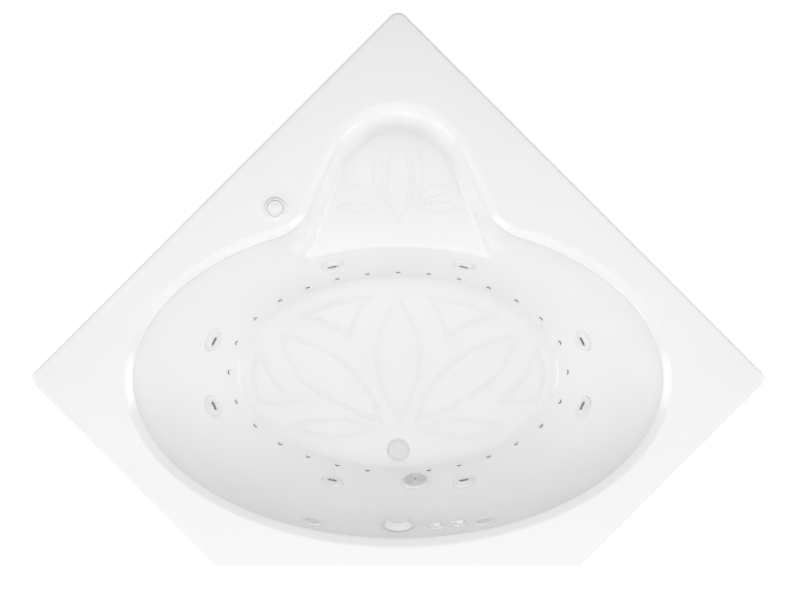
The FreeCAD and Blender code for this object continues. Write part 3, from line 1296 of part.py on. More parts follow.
def blower_shape():
    """Drum housing on four short feet, hollow, with an outlet spigot on top."""
    radius = s.blower_diameter / 2
    drum = cylinder(radius, 8, 8 + s.blower_height)
    drum = drum.makeFillet(10, level_edges(drum, 8 + s.blower_height))
    spigot = cylinder(s.blower_hose_diameter / 2 + 3, 8 + s.blower_height - 5, 8 + s.blower_height + 24)
    feet = []
    for k in range(4):
        foot = cylinder(9, 0, 9, Placement(Vector(radius - 16, 0, 0), Rotation()))
        foot.rotate(Vector(), Vector(0, 0, 1), 45 + 90 * k)
        feet.append(foot)
    drum = drum.fuse([spigot] + feet)
    inner = radius - s.blower_wall
    drum = drum.cut([cylinder(inner, 12, 4 + s.blower_height),
                     cylinder(s.blower_hose_diameter / 2 - 3, s.blower_height, s.blower_height + 40),
                     cylinder(s.blower_hose_diameter / 2 + 0.1, 14 + s.blower_height, s.blower_height + 40)])
    boss = cylinder(14, 11, 30).cut(cylinder(s.fan_shaft / 2 + s.shaft_gap, 14, 31))
    vents = []
    for k in range(16):
        vent = box((radius - 12, -2.5, 20), (radius + 5, 2.5, 50))
        vent.rotate(Vector(), Vector(0, 0, 1), 22.5 * k)
        vents.append(vent)
    return drum.fuse(boss).cut(vents)


feature("blower_housing", blower_shape(), blower_place)
fan = cylinder(s.fan_diameter / 2, 36, 40)
blades = []
for k in range(12):
    blade = box((20, -1.2, 39), (s.fan_diameter / 2 - 2, 1.2, 36 + s.fan_height))
    blade.rotate(Vector(), Vector(0, 0, 1), 30 * k)
    blades.append(blade)
hub = cylinder(18, 36, 36 + s.fan_height)
fan_shaft = cylinder(s.fan_shaft / 2, 15, 37)
feature("blower_fan", fan.fuse([hub, fan_shaft] + blades), blower_place)

hose_start = blower_place.multVec(Vector(0, 0, 14 + s.blower_height))
hose_top = hose_start.z + 75
hose_x = channel_port.x + 120
hose = tube("blower_hose", [hose_start, Vector(hose_start.x, hose_start.y, hose_top),
                            Vector(hose_x, (hose_start.y + channel_port.y) / 2, hose_top),
                            Vector(hose_x, channel_port.y, channel_port.z), channel_port],
            s.blower_hose_diameter)
feature("blower_hose", hose)

# ---------------------------------------------------------------- controls under the deck
control_low = (-s.control_box_length / 2, s.control_box_y - s.control_box_width / 2, equipment_top)
control_high = (s.control_box_length / 2, s.control_box_y + s.control_box_width / 2,
                equipment_top + s.control_box_height)
control_box = box(control_low, control_high)
control_box = control_box.makeFillet(8, [edge for edge in control_box.Edges if edge.BoundBox.ZLength > 50])
room = box([value + 3 for value in control_low], [value - 3 for value in control_high])
feature("control_box", control_box.cut(room))

button_end = button_place.multVec(Vector(0, 0, -s.button_length))
air_tube = tube("air_switch_tube", [button_end, button_end + Vector(0, 0, -70), Vector(-345, 275, 400),
                                    Vector(-325, 335, 300), Vector(-285, 390, 215),
                                    Vector(-220, s.control_box_y, equipment_top + 58),
                                    Vector(-170, s.control_box_y, equipment_top + 50),
                                    Vector(control_low[0] - 0.2, s.control_box_y, equipment_top + 50)],
                s.air_tube_diameter)
feature("air_switch_tube", air_tube)

cable_start = overflow_place.multVec(Vector(0, 0, -s.overflow_length))
cable_turn = overflow_place.multVec(Vector(0, 0, -s.overflow_length - 36))
cable_x = 36
cable_low = s.waste_height + 12
cable_side = s.shoe_diameter / 2 + 58
cable = tube("drain_cable", [cable_start, cable_turn, Vector(cable_x, tee_y - 22, cable_start.z - 110),
                             Vector(cable_x, tee_y - 6, 190), Vector(cable_x + 3, tee_y + 14, 130),
                             Vector(cable_x + 8, tee_y + 90, cable_low),
                             Vector(cable_side, drain_point.y - 70, cable_low),
                             Vector(cable_side, drain_point.y, cable_low),
                             Vector(s.shoe_diameter / 2 + 0.2, drain_point.y, cable_low)],
             s.cable_diameter)
feature("drain_cable", cable)

# ---------------------------------------------------------------- checks and files
PATTERNS = ("jet_wall_fitting_pattern", "light_lens_pattern", "light_housing_pattern", "air_control_body_pattern")
doc.recompute()
os.makedirs("parts", exist_ok=True)
pieces = []
for item in doc.Objects:
    assert "Invalid" not in item.State and "Error" not in item.State, (item.Label, item.State)
    if item.TypeId in ("PartDesign::Body", "Part::Feature") and item.Label not in PATTERNS:
        pieces.append(item)
for item in pieces:
    shape = item.Shape
    assert not shape.isNull() and shape.isValid(), item.Label
    assert all(solid.Volume > 0 for solid in shape.Solids) and shape.Solids, item.Label
for item in pieces:
    item.Shape.exportStep(os.path.join("parts", item.Label + ".step"))
print(len(pieces), "files")
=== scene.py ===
"""Corner jetted bath, dressed for rendering: smooth moulded shell with its leaf relief, fittings,
pipework, pump, blower, boards and frame, on a plain pale floor in soft studio light. Metres, +Z up."""

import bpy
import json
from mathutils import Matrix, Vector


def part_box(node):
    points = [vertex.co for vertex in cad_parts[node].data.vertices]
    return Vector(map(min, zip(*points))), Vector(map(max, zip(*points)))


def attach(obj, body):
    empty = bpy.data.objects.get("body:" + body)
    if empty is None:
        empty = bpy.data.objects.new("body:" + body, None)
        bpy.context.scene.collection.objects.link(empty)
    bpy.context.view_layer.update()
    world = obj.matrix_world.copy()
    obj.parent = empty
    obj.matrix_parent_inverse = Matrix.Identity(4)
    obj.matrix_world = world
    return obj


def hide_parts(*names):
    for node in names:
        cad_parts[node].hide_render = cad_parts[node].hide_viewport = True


bl_info = {
    "name": "Corner Bath Dresser",
    "version": (1, 0, 0),
    "blender": (4, 5, 0),
    "location": "View3D > Sidebar > Corner Bath",
    "description": "Shapes and finishes for a corner jetted bath, with its floor, lights and camera",
    "category": "Object",
}

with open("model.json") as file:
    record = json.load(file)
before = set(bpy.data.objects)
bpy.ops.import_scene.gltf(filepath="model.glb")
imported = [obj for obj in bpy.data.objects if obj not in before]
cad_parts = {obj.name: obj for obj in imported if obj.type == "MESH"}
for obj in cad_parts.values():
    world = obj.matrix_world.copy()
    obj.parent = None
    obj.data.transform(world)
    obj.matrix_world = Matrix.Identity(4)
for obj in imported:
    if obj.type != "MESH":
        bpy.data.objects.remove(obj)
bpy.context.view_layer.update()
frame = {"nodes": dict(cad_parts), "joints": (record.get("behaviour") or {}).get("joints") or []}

import json
import math

import bmesh
import bpy
import numpy as np
from bpy.props import FloatProperty, FloatVectorProperty, PointerProperty
from mathutils import Matrix, Vector
from mathutils.geometry import delaunay_2d_cdt

DECK_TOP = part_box("tub_shell")[1].z
JOINTS = {joint["name"]: joint for joint in frame["joints"]}
TUB = "tub"


# ---------------------------------------------------------------- what a user would change
class BathShape(bpy.types.PropertyGroup):
    """Sizes of the moulded shell."""

    deck_side: FloatProperty(
        name="Deck side", description="Wall side of the square deck", default=1.524, unit="LENGTH")
    deck_reach: FloatProperty(
        name="Deck reach", description="Wall corner to the cut-off front edge", default=1.627,
        unit="LENGTH")
    corner_radius: FloatProperty(
        name="Wall corners", description="Plan radius of the three wall corners", default=0.033,
        unit="LENGTH")
    front_corner_radius: FloatProperty(
        name="Front corners", description="Plan radius of the two front corners", default=0.010,
        unit="LENGTH")
    edge_radius: FloatProperty(
        name="Deck edge", description="Rounded-over edge of the deck", default=0.012, unit="LENGTH")
    skirt_drop: FloatProperty(
        name="Skirt", description="Turned-down lip round the deck", default=0.038, unit="LENGTH")
    wall: FloatProperty(name="Acrylic", description="Thickness of the shell", default=0.006, unit="LENGTH")
    well_depth: FloatProperty(
        name="Well depth", description="Deck to well floor", default=0.460, unit="LENGTH")
    well_half_length: FloatProperty(
        name="Well half length", description="At deck level, along X", default=0.771, unit="LENGTH")
    well_half_width: FloatProperty(
        name="Well half width", description="At deck level, along Y", default=0.463, unit="LENGTH")
    floor_half_length: FloatProperty(
        name="Floor half length", description="Floor corner, along X", default=0.480, unit="LENGTH")
    floor_half_width: FloatProperty(
        name="Floor half width", description="Floor corner, along Y", default=0.282, unit="LENGTH")
    floor_shift: FloatProperty(
        name="Floor shift", description="Floor centre behind the well centre", default=0.011, unit="LENGTH")
    wall_power: FloatProperty(
        name="Wall curve", description="How the wall curves in towards the floor", default=1.4)
    rim_width: FloatProperty(
        name="Rim", description="Sloped band round well and alcove", default=0.0225, unit="LENGTH")
    rim_slope: FloatProperty(name="Rim slope", description="Fall of the band over its width", default=0.6)
    ring_width: FloatProperty(
        name="Floor ring", description="Band round the floor, curving up to the wall", default=0.028,
        unit="LENGTH")
    ring_radius: FloatProperty(
        name="Floor ring radius", description="Curve of that band", default=0.052, unit="LENGTH")
    crease: FloatProperty(
        name="Creases", description="Rounding of the moulded lines", default=0.0035, unit="LENGTH")
    alcove_crease: FloatProperty(
        name="Alcove creases", description="Softer rounding of the alcove's rim", default=0.013,
        unit="LENGTH")
    alcove_lift: FloatProperty(
        name="Alcove lift", description="Share by which the alcove's wall is shaded upwards", default=0.45,
        min=0, max=1)
    join_radius: FloatProperty(
        name="Joins", description="Well wall to alcove wall", default=0.050, unit="LENGTH")
    seat_front_radius: FloatProperty(
        name="Seat front", description="Front edge of the seat", default=0.014, unit="LENGTH")
    seat_radius: FloatProperty(
        name="Seat corner", description="Seat to alcove wall", default=0.015, unit="LENGTH")
    seat_depth: FloatProperty(name="Seat depth", description="Deck to seat", default=0.250, unit="LENGTH")
    skin_step: FloatProperty(
        name="Mesh step", description="Size of the skin's faces", default=0.0046, unit="LENGTH")


class BathRelief(bpy.types.PropertyGroup):
    """The raised leaf bands on floor and seat."""

    band_width: FloatProperty(
        name="Band width", description="Width of a band on the floor", default=0.023, unit="LENGTH")
    seat_band_width: FloatProperty(
        name="Seat band width", description="Width of a band on the seat", default=0.012, unit="LENGTH")
    band_rise: FloatProperty(
        name="Band height", description="Height of a band over the floor", default=0.0006, unit="LENGTH")
    sheet_step: FloatProperty(
        name="Relief mesh step", description="Size of the relief's faces", default=0.0022, unit="LENGTH")


class BathFinish(bpy.types.PropertyGroup):
    """Colours of the finishes."""

    acrylic: FloatVectorProperty(
        name="Acrylic", description="Moulded shell", subtype="COLOR", default=(0.94, 0.94, 0.94), min=0,
        max=1)
    fitting: FloatVectorProperty(
        name="Fittings", description="White fittings", subtype="COLOR", default=(0.90, 0.90, 0.90), min=0,
        max=1)
    grille: FloatVectorProperty(
        name="Grille", description="Suction grille", subtype="COLOR", default=(0.74, 0.74, 0.75), min=0,
        max=1)
    stopper: FloatVectorProperty(
        name="Stopper", description="Drain stopper", subtype="COLOR", default=(0.80, 0.80, 0.81), min=0,
        max=1)
    # The jet recess colour is painted shade of the sunken slot, laid on a sheet in it.
    recess: FloatVectorProperty(
        name="Jet recess", description="Lining of a jet nozzle's recess", subtype="COLOR",
        default=(0.46, 0.46, 0.47), min=0, max=1)


class BathStage(bpy.types.PropertyGroup):
    """Camera, floor and lights."""

    camera_height: FloatProperty(
        name="Camera height", description="Camera above the deck", default=9.0, unit="LENGTH")
    view_width: FloatProperty(
        name="View width", description="Width of the picture at deck level", default=2.316, unit="LENGTH")
    aim_x: FloatProperty(name="Aim X", description="Middle of the picture", default=0.0055, unit="LENGTH")
    aim_y: FloatProperty(name="Aim Y", description="Middle of the picture", default=-0.0282, unit="LENGTH")
    side_light: FloatProperty(
        name="Side lights", description="Power of the two far side lights", default=110.0, unit="POWER")
    corner_light: FloatProperty(
        name="Corner lights", description="Power of the two lights off the front corners", default=56.0,
        unit="POWER")
    front_light: FloatProperty(
        name="Front light", description="Power of the low front light", default=14.0, unit="POWER")
    top_light: FloatProperty(
        name="Top light", description="Power of the light above the bath", default=108.0, unit="POWER")
    high_light: FloatProperty(
        name="High lights", description="Power of the two small lights high at the sides", default=14.0,
        unit="POWER")
    sky: FloatProperty(name="Sky", description="Strength of the even light all round", default=0.11)
    floor_glow: FloatProperty(
        name="Floor glow", description="Light that the pale floor gives off itself", default=0.8)


# ---------------------------------------------------------------- node finishes
class Finish:
    """One node material: grain for bump and roughness, slow shade variation, principled shader."""

    def __init__(self, name, colour, roughness, metallic=0.0, coat=0.0):
        self.material = bpy.data.materials.new(name)
        self.material.use_nodes = True
        self.nodes = self.material.node_tree.nodes
        self.links = self.material.node_tree.links
        self.shader = self.nodes["Principled BSDF"]
        self.colour = tuple(colour)
        self.shader.inputs["Base Color"].default_value = (*self.colour, 1)
        self.shader.inputs["Roughness"].default_value = roughness
        self.shader.inputs["Metallic"].default_value = metallic
        self.shader.inputs["Coat Weight"].default_value = coat
        self.shader.inputs["Coat Roughness"].default_value = 0.05
        self.place = self.nodes.new("ShaderNodeTexCoord").outputs["Object"]

    def stretched(self, stretch):
        """Object coordinates, stretched along one or more axes."""
        mapping = self.nodes.new("ShaderNodeMapping")
        mapping.inputs["Scale"].default_value = stretch
        self.links.new(self.place, mapping.inputs["Vector"])
        return mapping.outputs["Vector"]

    def texture(self, kind, size, place=None):
        """A texture node whose features are about size metres across."""
        texture = self.nodes.new(kind)
        texture.inputs["Scale"].default_value = 1.0 / size
        self.links.new(place or self.place, texture.inputs["Vector"])
        return texture

    def noise(self, size, detail=3.0, place=None):
        """A soft noise."""
        texture = self.texture("ShaderNodeTexNoise", size, place)
        texture.inputs["Detail"].default_value = detail
        return texture.outputs["Fac"]

    def cells(self, size):
        """A pattern of packed cells."""
        return self.texture("ShaderNodeTexVoronoi", size).outputs["Distance"]

    def spread(self, value, low, high):
        """A value from 0.3 to 0.7 mapped to a range."""
        mapped = self.nodes.new("ShaderNodeMapRange")
        mapped.inputs["From Min"].default_value = 0.3
        mapped.inputs["From Max"].default_value = 0.7
        mapped.inputs["To Min"].default_value = low
        mapped.inputs["To Max"].default_value = high
        self.links.new(value, mapped.inputs["Value"])
        return mapped.outputs["Result"]

    def shade(self, value, darker):
        """The base colour, slipping to a darker share of itself along a value."""
        self.two_colours(value, [part * darker for part in self.colour])

    def two_colours(self, value, other):
        """The base colour and another one, mixed along a value."""
        mixed = self.nodes.new("ShaderNodeMix")
        mixed.data_type = "RGBA"
        mixed.inputs["A"].default_value = (*self.colour, 1)
        mixed.inputs["B"].default_value = (*other, 1)
        self.links.new(self.spread(value, 0.0, 1.0), mixed.inputs["Factor"])
        self.links.new(mixed.outputs["Result"], self.shader.inputs["Base Color"])

    def polish(self, value, low, high):
        """Roughness that follows a value."""
        self.links.new(self.spread(value, low, high), self.shader.inputs["Roughness"])

    def relief(self, *layers):
        """Bump layers of (value, depth in metres), one on the other."""
        normal = None
        for value, depth in layers:
            bump = self.nodes.new("ShaderNodeBump")
            bump.inputs["Strength"].default_value = 1.0
            bump.inputs["Distance"].default_value = depth
            self.links.new(value, bump.inputs["Height"])
            if normal is not None:
                self.links.new(normal, bump.inputs["Normal"])
            normal = bump.outputs["Normal"]
        self.links.new(normal, self.shader.inputs["Normal"])


def gloss_acrylic(colour):
    """Vacuum-formed acrylic: clear gloss with a very slow ripple."""
    finish = Finish("gloss_acrylic", colour, 0.16, coat=0.4)
    finish.shade(finish.noise(0.35, 2), 0.985)
    finish.polish(finish.noise(0.08, 4), 0.13, 0.19)
    finish.relief((finish.noise(0.09, 1), 0.00025), (finish.noise(0.004, 2), 0.000004))
    return finish.material


def stippled_acrylic(colour):
    """The same acrylic with a fine slip-resistant stipple."""
    finish = Finish("stippled_acrylic", (part * 0.96 for part in colour), 0.36)
    finish.shade(finish.noise(0.005, 3), 0.94)
    finish.polish(finish.noise(0.02, 3), 0.3, 0.44)
    finish.relief((finish.cells(0.004), 0.00012), (finish.noise(0.0016, 2), 0.00004))
    return finish.material


def moulded(name, colour, roughness, grain=0.0012, depth=0.00001, coat=0.0):
    """Injection-moulded plastic: fine grain, slight flow shading."""
    finish = Finish(name, colour, roughness, coat=coat)
    finish.shade(finish.noise(0.03, 3), 0.965)
    finish.polish(finish.noise(0.009, 4), roughness * 0.85, min(roughness * 1.2, 1))
    finish.relief((finish.noise(grain, 2), depth), (finish.noise(0.02, 1), 0.00005))
    return finish.material


def extruded_pipe(name, colour, roughness):
    """Plastic pipe: satin, with scuffs and a slightly blotchy tone."""
    finish = Finish(name, colour, roughness)
    finish.shade(finish.noise(0.05, 5), 0.9)
    scuffs = finish.noise(0.03, 6, place=finish.stretched((1, 1, 0.12)))
    finish.polish(scuffs, roughness * 0.75, roughness * 1.3)
    finish.relief((scuffs, 0.00006), (finish.noise(0.0015, 2), 0.00002))
    return finish.material


def zinc_steel():
    """Zinc-plated tube: spangled, dull silver."""
    finish = Finish("zinc_steel", (0.56, 0.58, 0.59), 0.38, metallic=1.0)
    spangle = finish.cells(0.007)
    finish.shade(spangle, 0.72)
    finish.polish(finish.noise(0.012, 5), 0.28, 0.52)
    finish.relief((finish.noise(0.004, 3), 0.00004), (spangle, 0.00003))
    return finish.material


def brushed_steel(name, colour):
    """Stainless steel with fine brush lines along X."""
    finish = Finish(name, colour, 0.28, metallic=1.0)
    lines = finish.noise(0.0012, 4, place=finish.stretched((0.03, 1, 1)))
    finish.shade(finish.noise(0.02, 3), 0.88)
    finish.polish(lines, 0.2, 0.38)
    finish.relief((lines, 0.00002))
    return finish.material


def black_rubber():
    """Moulded rubber: matt with a dusty bloom."""
    finish = Finish("black_rubber", (0.028, 0.028, 0.029), 0.82)
    finish.two_colours(finish.noise(0.01, 6), (0.07, 0.07, 0.07))
    finish.polish(finish.noise(0.004, 4), 0.7, 0.95)
    finish.relief((finish.noise(0.0008, 3), 0.00006))
    return finish.material


def painted_motor():
    """Powder-coated motor casing."""
    finish = Finish("painted_motor", (0.045, 0.05, 0.055), 0.42)
    finish.shade(finish.noise(0.04, 4), 0.8)
    finish.polish(finish.noise(0.01, 4), 0.34, 0.52)
    finish.relief((finish.noise(0.0016, 2), 0.00005))
    return finish.material


def plywood():
    """Birch plywood: long grain along X, darker rings and fine pores."""
    finish = Finish("birch_plywood", (0.56, 0.41, 0.25), 0.62)
    rings = finish.noise(0.05, 5, place=finish.stretched((0.12, 1, 1)))
    pores = finish.noise(0.003, 4, place=finish.stretched((0.06, 1, 1)))
    finish.two_colours(rings, (0.38, 0.25, 0.13))
    finish.polish(pores, 0.5, 0.75)
    finish.relief((pores, 0.00012), (rings, 0.0001))
    return finish.material


def frosted_lens():
    """Frosted clear lens of an underwater light."""
    finish = Finish("frosted_lens", (0.87, 0.88, 0.89), 0.22)
    finish.shader.inputs["Transmission Weight"].default_value = 0.1
    finish.shader.inputs["IOR"].default_value = 1.49
    finish.shade(finish.noise(0.01, 3), 0.96)
    finish.polish(finish.noise(0.002, 3), 0.16, 0.3)
    finish.relief((finish.cells(0.0018), 0.00012))
    return finish.material


def milky_hose():
    """Flexible vinyl tube, slightly see-through."""
    finish = Finish("milky_hose", (0.74, 0.77, 0.79), 0.35)
    finish.shader.inputs["Transmission Weight"].default_value = 0.25
    finish.shade(finish.noise(0.03, 3), 0.92)
    finish.polish(finish.noise(0.01, 4), 0.26, 0.44)
    finish.relief((finish.noise(0.002, 2), 0.00003))
    return finish.material


FINISHES = {}


def finish_named(name):
    """One of the bath's finishes, made the first time it is asked for."""
    if name not in FINISHES:
        colours = bpy.context.scene.bath_finish
        makers = {
            "acrylic": lambda: gloss_acrylic(colours.acrylic),
            "stipple": lambda: stippled_acrylic(colours.acrylic),
            "fitting": lambda: moulded("white_fitting", colours.fitting, 0.24, coat=0.2),
            "grille": lambda: moulded("grey_grille", colours.grille, 0.36),
            "stopper": lambda: moulded("grey_stopper", colours.stopper, 0.3),
            # Grey: painted shade of the jets' sunken recesses.
            "recess": lambda: moulded("recess_painted_shade", colours.recess, 0.5),
            # Near-black: painted shade inside the jets' holes and in the gap under the injector caps.
            "hole": lambda: moulded("hole_painted_shade", (0.012, 0.012, 0.013), 0.6),
            "white_pipe": lambda: extruded_pipe("white_pipe", (0.74, 0.74, 0.71), 0.38),
            "grey_pipe": lambda: extruded_pipe("grey_pipe", (0.24, 0.25, 0.26), 0.42),
            "nylon": lambda: moulded("nylon_nut", (0.66, 0.66, 0.62), 0.46, grain=0.002, depth=0.00003),
            "black": lambda: moulded("black_plastic", (0.022, 0.022, 0.024), 0.44, depth=0.00003),
            "dark": lambda: moulded("dark_plastic", (0.06, 0.062, 0.066), 0.48, depth=0.00004),
            "zinc": zinc_steel,
            "steel": lambda: brushed_steel("brushed_steel", (0.62, 0.62, 0.62)),
            "rubber": black_rubber,
            "motor": painted_motor,
            "board": plywood,
            "lens": frosted_lens,
            "hose": milky_hose,
        }
        FINISHES[name] = makers[name]()
    return FINISHES[name]


def dress(node, finish):
    """Gives a CAD node its finish."""
    item = frame["nodes"][node]
    item.data.materials.clear()
    item.data.materials.append(finish_named(finish))


# ---------------------------------------------------------------- mesh helpers
def place_piece(name, mesh, finish, body, replaced=(), sharp=35):
    """A finished mesh as a piece on a body."""
    mesh.materials.clear()
    mesh.materials.append(finish_named(finish))
    for face in mesh.polygons:
        face.use_smooth = True
    mesh.set_sharp_from_angle(angle=math.radians(sharp))
    piece = bpy.data.objects.new(name, mesh)
    bpy.context.scene.collection.objects.link(piece)
    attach(piece, body)
    if replaced:
        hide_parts(*replaced)
    return piece


def mesh_from(name, points, faces):
    """A mesh from points and faces."""
    mesh = bpy.data.meshes.new(name)
    mesh.from_pydata([tuple(point) for point in points], [], [tuple(face) for face in faces])
    mesh.validate()
    return mesh


def circle(around):
    """Equal steps round a circle of radius 1."""
    turns = [2 * math.pi * step / around for step in range(around)]
    return [(math.cos(turn), math.sin(turn)) for turn in turns]


def strips(start, around, rings):
    """Quads between closed rings of points that are numbered one after the other."""
    faces = []
    for row in range(start, start + (rings - 1) * around, around):
        for step in range(around):
            after = (step + 1) % around
            faces.append((row + step, row + after, row + around + after, row + around + step))
    return faces


def smoothed(share):
    """A share from 0 to 1, eased at both ends."""
    return share * share * (3 - 2 * share)


def plan_centre(box, height):
    """The middle of a box in plan, at a height."""
    return Vector(((box[0].x + box[1].x) / 2, (box[0].y + box[1].y) / 2, height))


def eased(profile, radius, steps=3):
    """A (radius, height) line with its corners rounded."""
    points = [Vector(point) for point in profile]
    result = [points[0]]
    for before, corner, after in zip(points, points[1:], points[2:]):
        back = before - corner
        ahead = after - corner
        reach = min(radius, 0.42 * back.length, 0.42 * ahead.length)
        start = corner + back.normalized() * reach
        end = corner + ahead.normalized() * reach
        for step in range(steps + 1):
            share = step / steps
            result.append(start * (1 - share) ** 2 + corner * 2 * share * (1 - share) + end * share ** 2)
    result.append(points[-1])
    return result


def lathe_mesh(name, profile, place, radius=0.0006, around=72):
    """A profile turned about a place's own Z axis, with rounded corners."""
    line = eased(profile, radius)
    points = []
    faces = []
    rows = []
    for reach, height in line:
        if reach < 1e-7:
            rows.append([len(points)])
            points.append(place @ Vector((0, 0, height)))
            continue
        rows.append(range(len(points), len(points) + around))
        points += [place @ Vector((reach * x, reach * y, height)) for x, y in circle(around)]
    for lower, upper in zip(rows, rows[1:]):
        for step in range(around):
            after = (step + 1) % around
            if len(lower) == 1:
                faces.append((lower[0], upper[after], upper[step]))
            elif len(upper) == 1:
                faces.append((lower[step], lower[after], upper[0]))
            else:
                faces.append((lower[step], lower[after], upper[after], upper[step]))
    return mesh_from(name, points, faces)


def closed_lathe(name, profile, place, radius=0.0006, around=72):
    """A closed ring profile turned about a place's own Z axis."""
    middle = ((profile[0][0] + profile[1][0]) / 2, (profile[0][1] + profile[1][1]) / 2)
    return lathe_mesh(name, [middle, *profile[1:], profile[0], middle], place, radius, around)


def hose_piece(name, route, diameter, finish, replaced):
    """A flexible run as a smooth curve along its route."""
    curve = bpy.data.curves.new(name, "CURVE")
    curve.dimensions = "3D"
    curve.bevel_depth = diameter / 2
    curve.bevel_resolution = 6
    curve.resolution_u = 10
    curve.use_fill_caps = True
    spline = curve.splines.new("NURBS")
    spline.points.add(len(route) - 1)
    for control, point in zip(spline.points, route):
        control.co = (*point, 1)
    spline.order_u = 3
    spline.use_endpoint_u = True
    curve.materials.append(finish_named(finish))
    piece = bpy.data.objects.new(name, curve)
    bpy.context.scene.collection.objects.link(piece)
    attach(piece, TUB)
    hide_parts(replaced)
    return piece


# ---------------------------------------------------------------- places on the well's wall
def well_oval(shape, height):
    """Half length, half width and centre Y of the well at a height."""
    drop = (DECK_TOP - height) / shape.well_depth
    share = max(drop, 0.0) ** shape.wall_power
    length = shape.well_half_length - (shape.well_half_length - shape.floor_half_length) * share
    width = shape.well_half_width - (shape.well_half_width - shape.floor_half_width) * share
    return length, width, deck_lines(shape)[2] + shape.floor_shift * drop


def deck_lines(shape):
    """Y of the sharp wall corner, of the front edge and of the widest line, and half the diagonal."""
    half_diagonal = shape.deck_side / math.sqrt(2)
    corner_y = (shape.deck_reach + shape.corner_radius * (math.sqrt(2) - 1)) / 2
    return corner_y, corner_y - shape.deck_reach, corner_y - half_diagonal, half_diagonal


LAND_SINK = 0.0005                               # flat spots lie this deep in the wall


def wall_place(shape, angle, height, sink=LAND_SINK):
    """A frame on the well's wall: Z along the normal into the well, X level."""
    length, width, middle = well_oval(shape, height)
    turn = math.radians(angle)
    reach = 1 / math.hypot(math.cos(turn) / length, math.sin(turn) / width)
    point = Vector((reach * math.cos(turn), middle + reach * math.sin(turn), height))

    def oval_value(z):
        half_length, half_width, centre = well_oval(shape, z)
        return (point.x / half_length) ** 2 + ((point.y - centre) / half_width) ** 2

    step = 0.0005
    rise = (oval_value(height + step) - oval_value(height - step)) / (2 * step)
    normal = -Vector((2 * point.x / length ** 2, 2 * (point.y - middle) / width ** 2, rise)).normalized()
    return axis_place(point - normal * sink, normal)


def axis_place(point, axis):
    """A frame with Z along an axis and X level."""
    z = Vector(axis).normalized()
    x = Vector((0, 0, 1)).cross(z)
    x = x.normalized() if x.length > 1e-6 else Vector((1, 0, 0))
    y = z.cross(x)
    return Matrix.Translation(Vector(point)) @ Matrix((x, y, z)).transposed().to_4x4()


def joint_place(name):
    """The frame of a joint at rest."""
    joint = JOINTS[name]
    return axis_place(joint["pos_m"], joint["axis"])


JETS = range(1, 9)
AIR_CONTROLS = (1, 2)
SUCTION_ANGLE, SUCTION_HEIGHT = -81, 0.085       # off the long axis; above the well's floor
LIGHT_ANGLE, LIGHT_DROP = 58.8, 0.086            # off the long axis; below the deck
LANDS = {"jet": (0.033, 0.0222), "suction": (0.042, 0.0262), "overflow": (0.043, 0.0252),
         "light": (0.029, 0.0172), "air control": (0.021, 0.0122), "drain": (0.035, 0.0262)}


def fitting_places(shape):
    """Every fitting that goes through the shell: its frame, the radius of its flat land and of its hole."""
    places = [("jet", joint_place(f"bezel_{number}_turn")) for number in JETS]
    places.append(("suction", wall_place(shape, SUCTION_ANGLE, DECK_TOP - shape.well_depth + SUCTION_HEIGHT)))
    places.append(("overflow", joint_place("overflow_dial_turn")))
    places += [("light", wall_place(shape, angle, DECK_TOP - LIGHT_DROP))
               for angle in (180 + LIGHT_ANGLE, -LIGHT_ANGLE)]
    places += [("air control", joint_place(f"air_knob_{number}_turn")) for number in AIR_CONTROLS]
    places.append(("drain", drain_place(shape)))
    return [(place, *LANDS[kind]) for kind, place in places]


def drain_place(shape):
    """The drain's frame on the flat spot of the floor."""
    height = DECK_TOP - shape.well_depth - LAND_SINK
    return Matrix.Translation(plan_centre(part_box("drain_stopper"), height))


# ---------------------------------------------------------------- the moulded skin
def sharpest(first, second, radius):
    """Both hollows' common part, with a rounded inside corner."""
    inner = np.minimum(-radius, np.maximum(first, second))
    return inner + np.hypot(np.maximum(first + radius, 0), np.maximum(second + radius, 0))


def joined(first, second, radius):
    """Two hollows together, with a rounded edge between them."""
    outer = np.maximum(radius, np.minimum(first, second))
    return outer - np.hypot(np.maximum(radius - first, 0), np.maximum(radius - second, 0))


def past(value, ease):
    """Zero below zero and the value above it, eased where the two meet."""
    return np.where(value > ease, value, np.maximum(value + ease, 0) ** 2 / (4 * ease))


ARCH_RADIUS, ARCH_TAPER = 0.199, 0.009           # rear arch at the deck; less at the seat by
ARCH_REACH, ARCH_LEAN = 0.5717, 0.0264           # well centre to arch centre; less at the seat by
FLARE, FLARE_LOSS = 25.6, 5.6                    # the alcove's sides, degrees; less at the seat by
ALCOVE_FADE = 0.12                               # run over which the alcove's softer looks set in
SEAT_FRONT_START, SEAT_FRONT_RUN = 0.012, 0.10   # heights over the seat where the joins widen


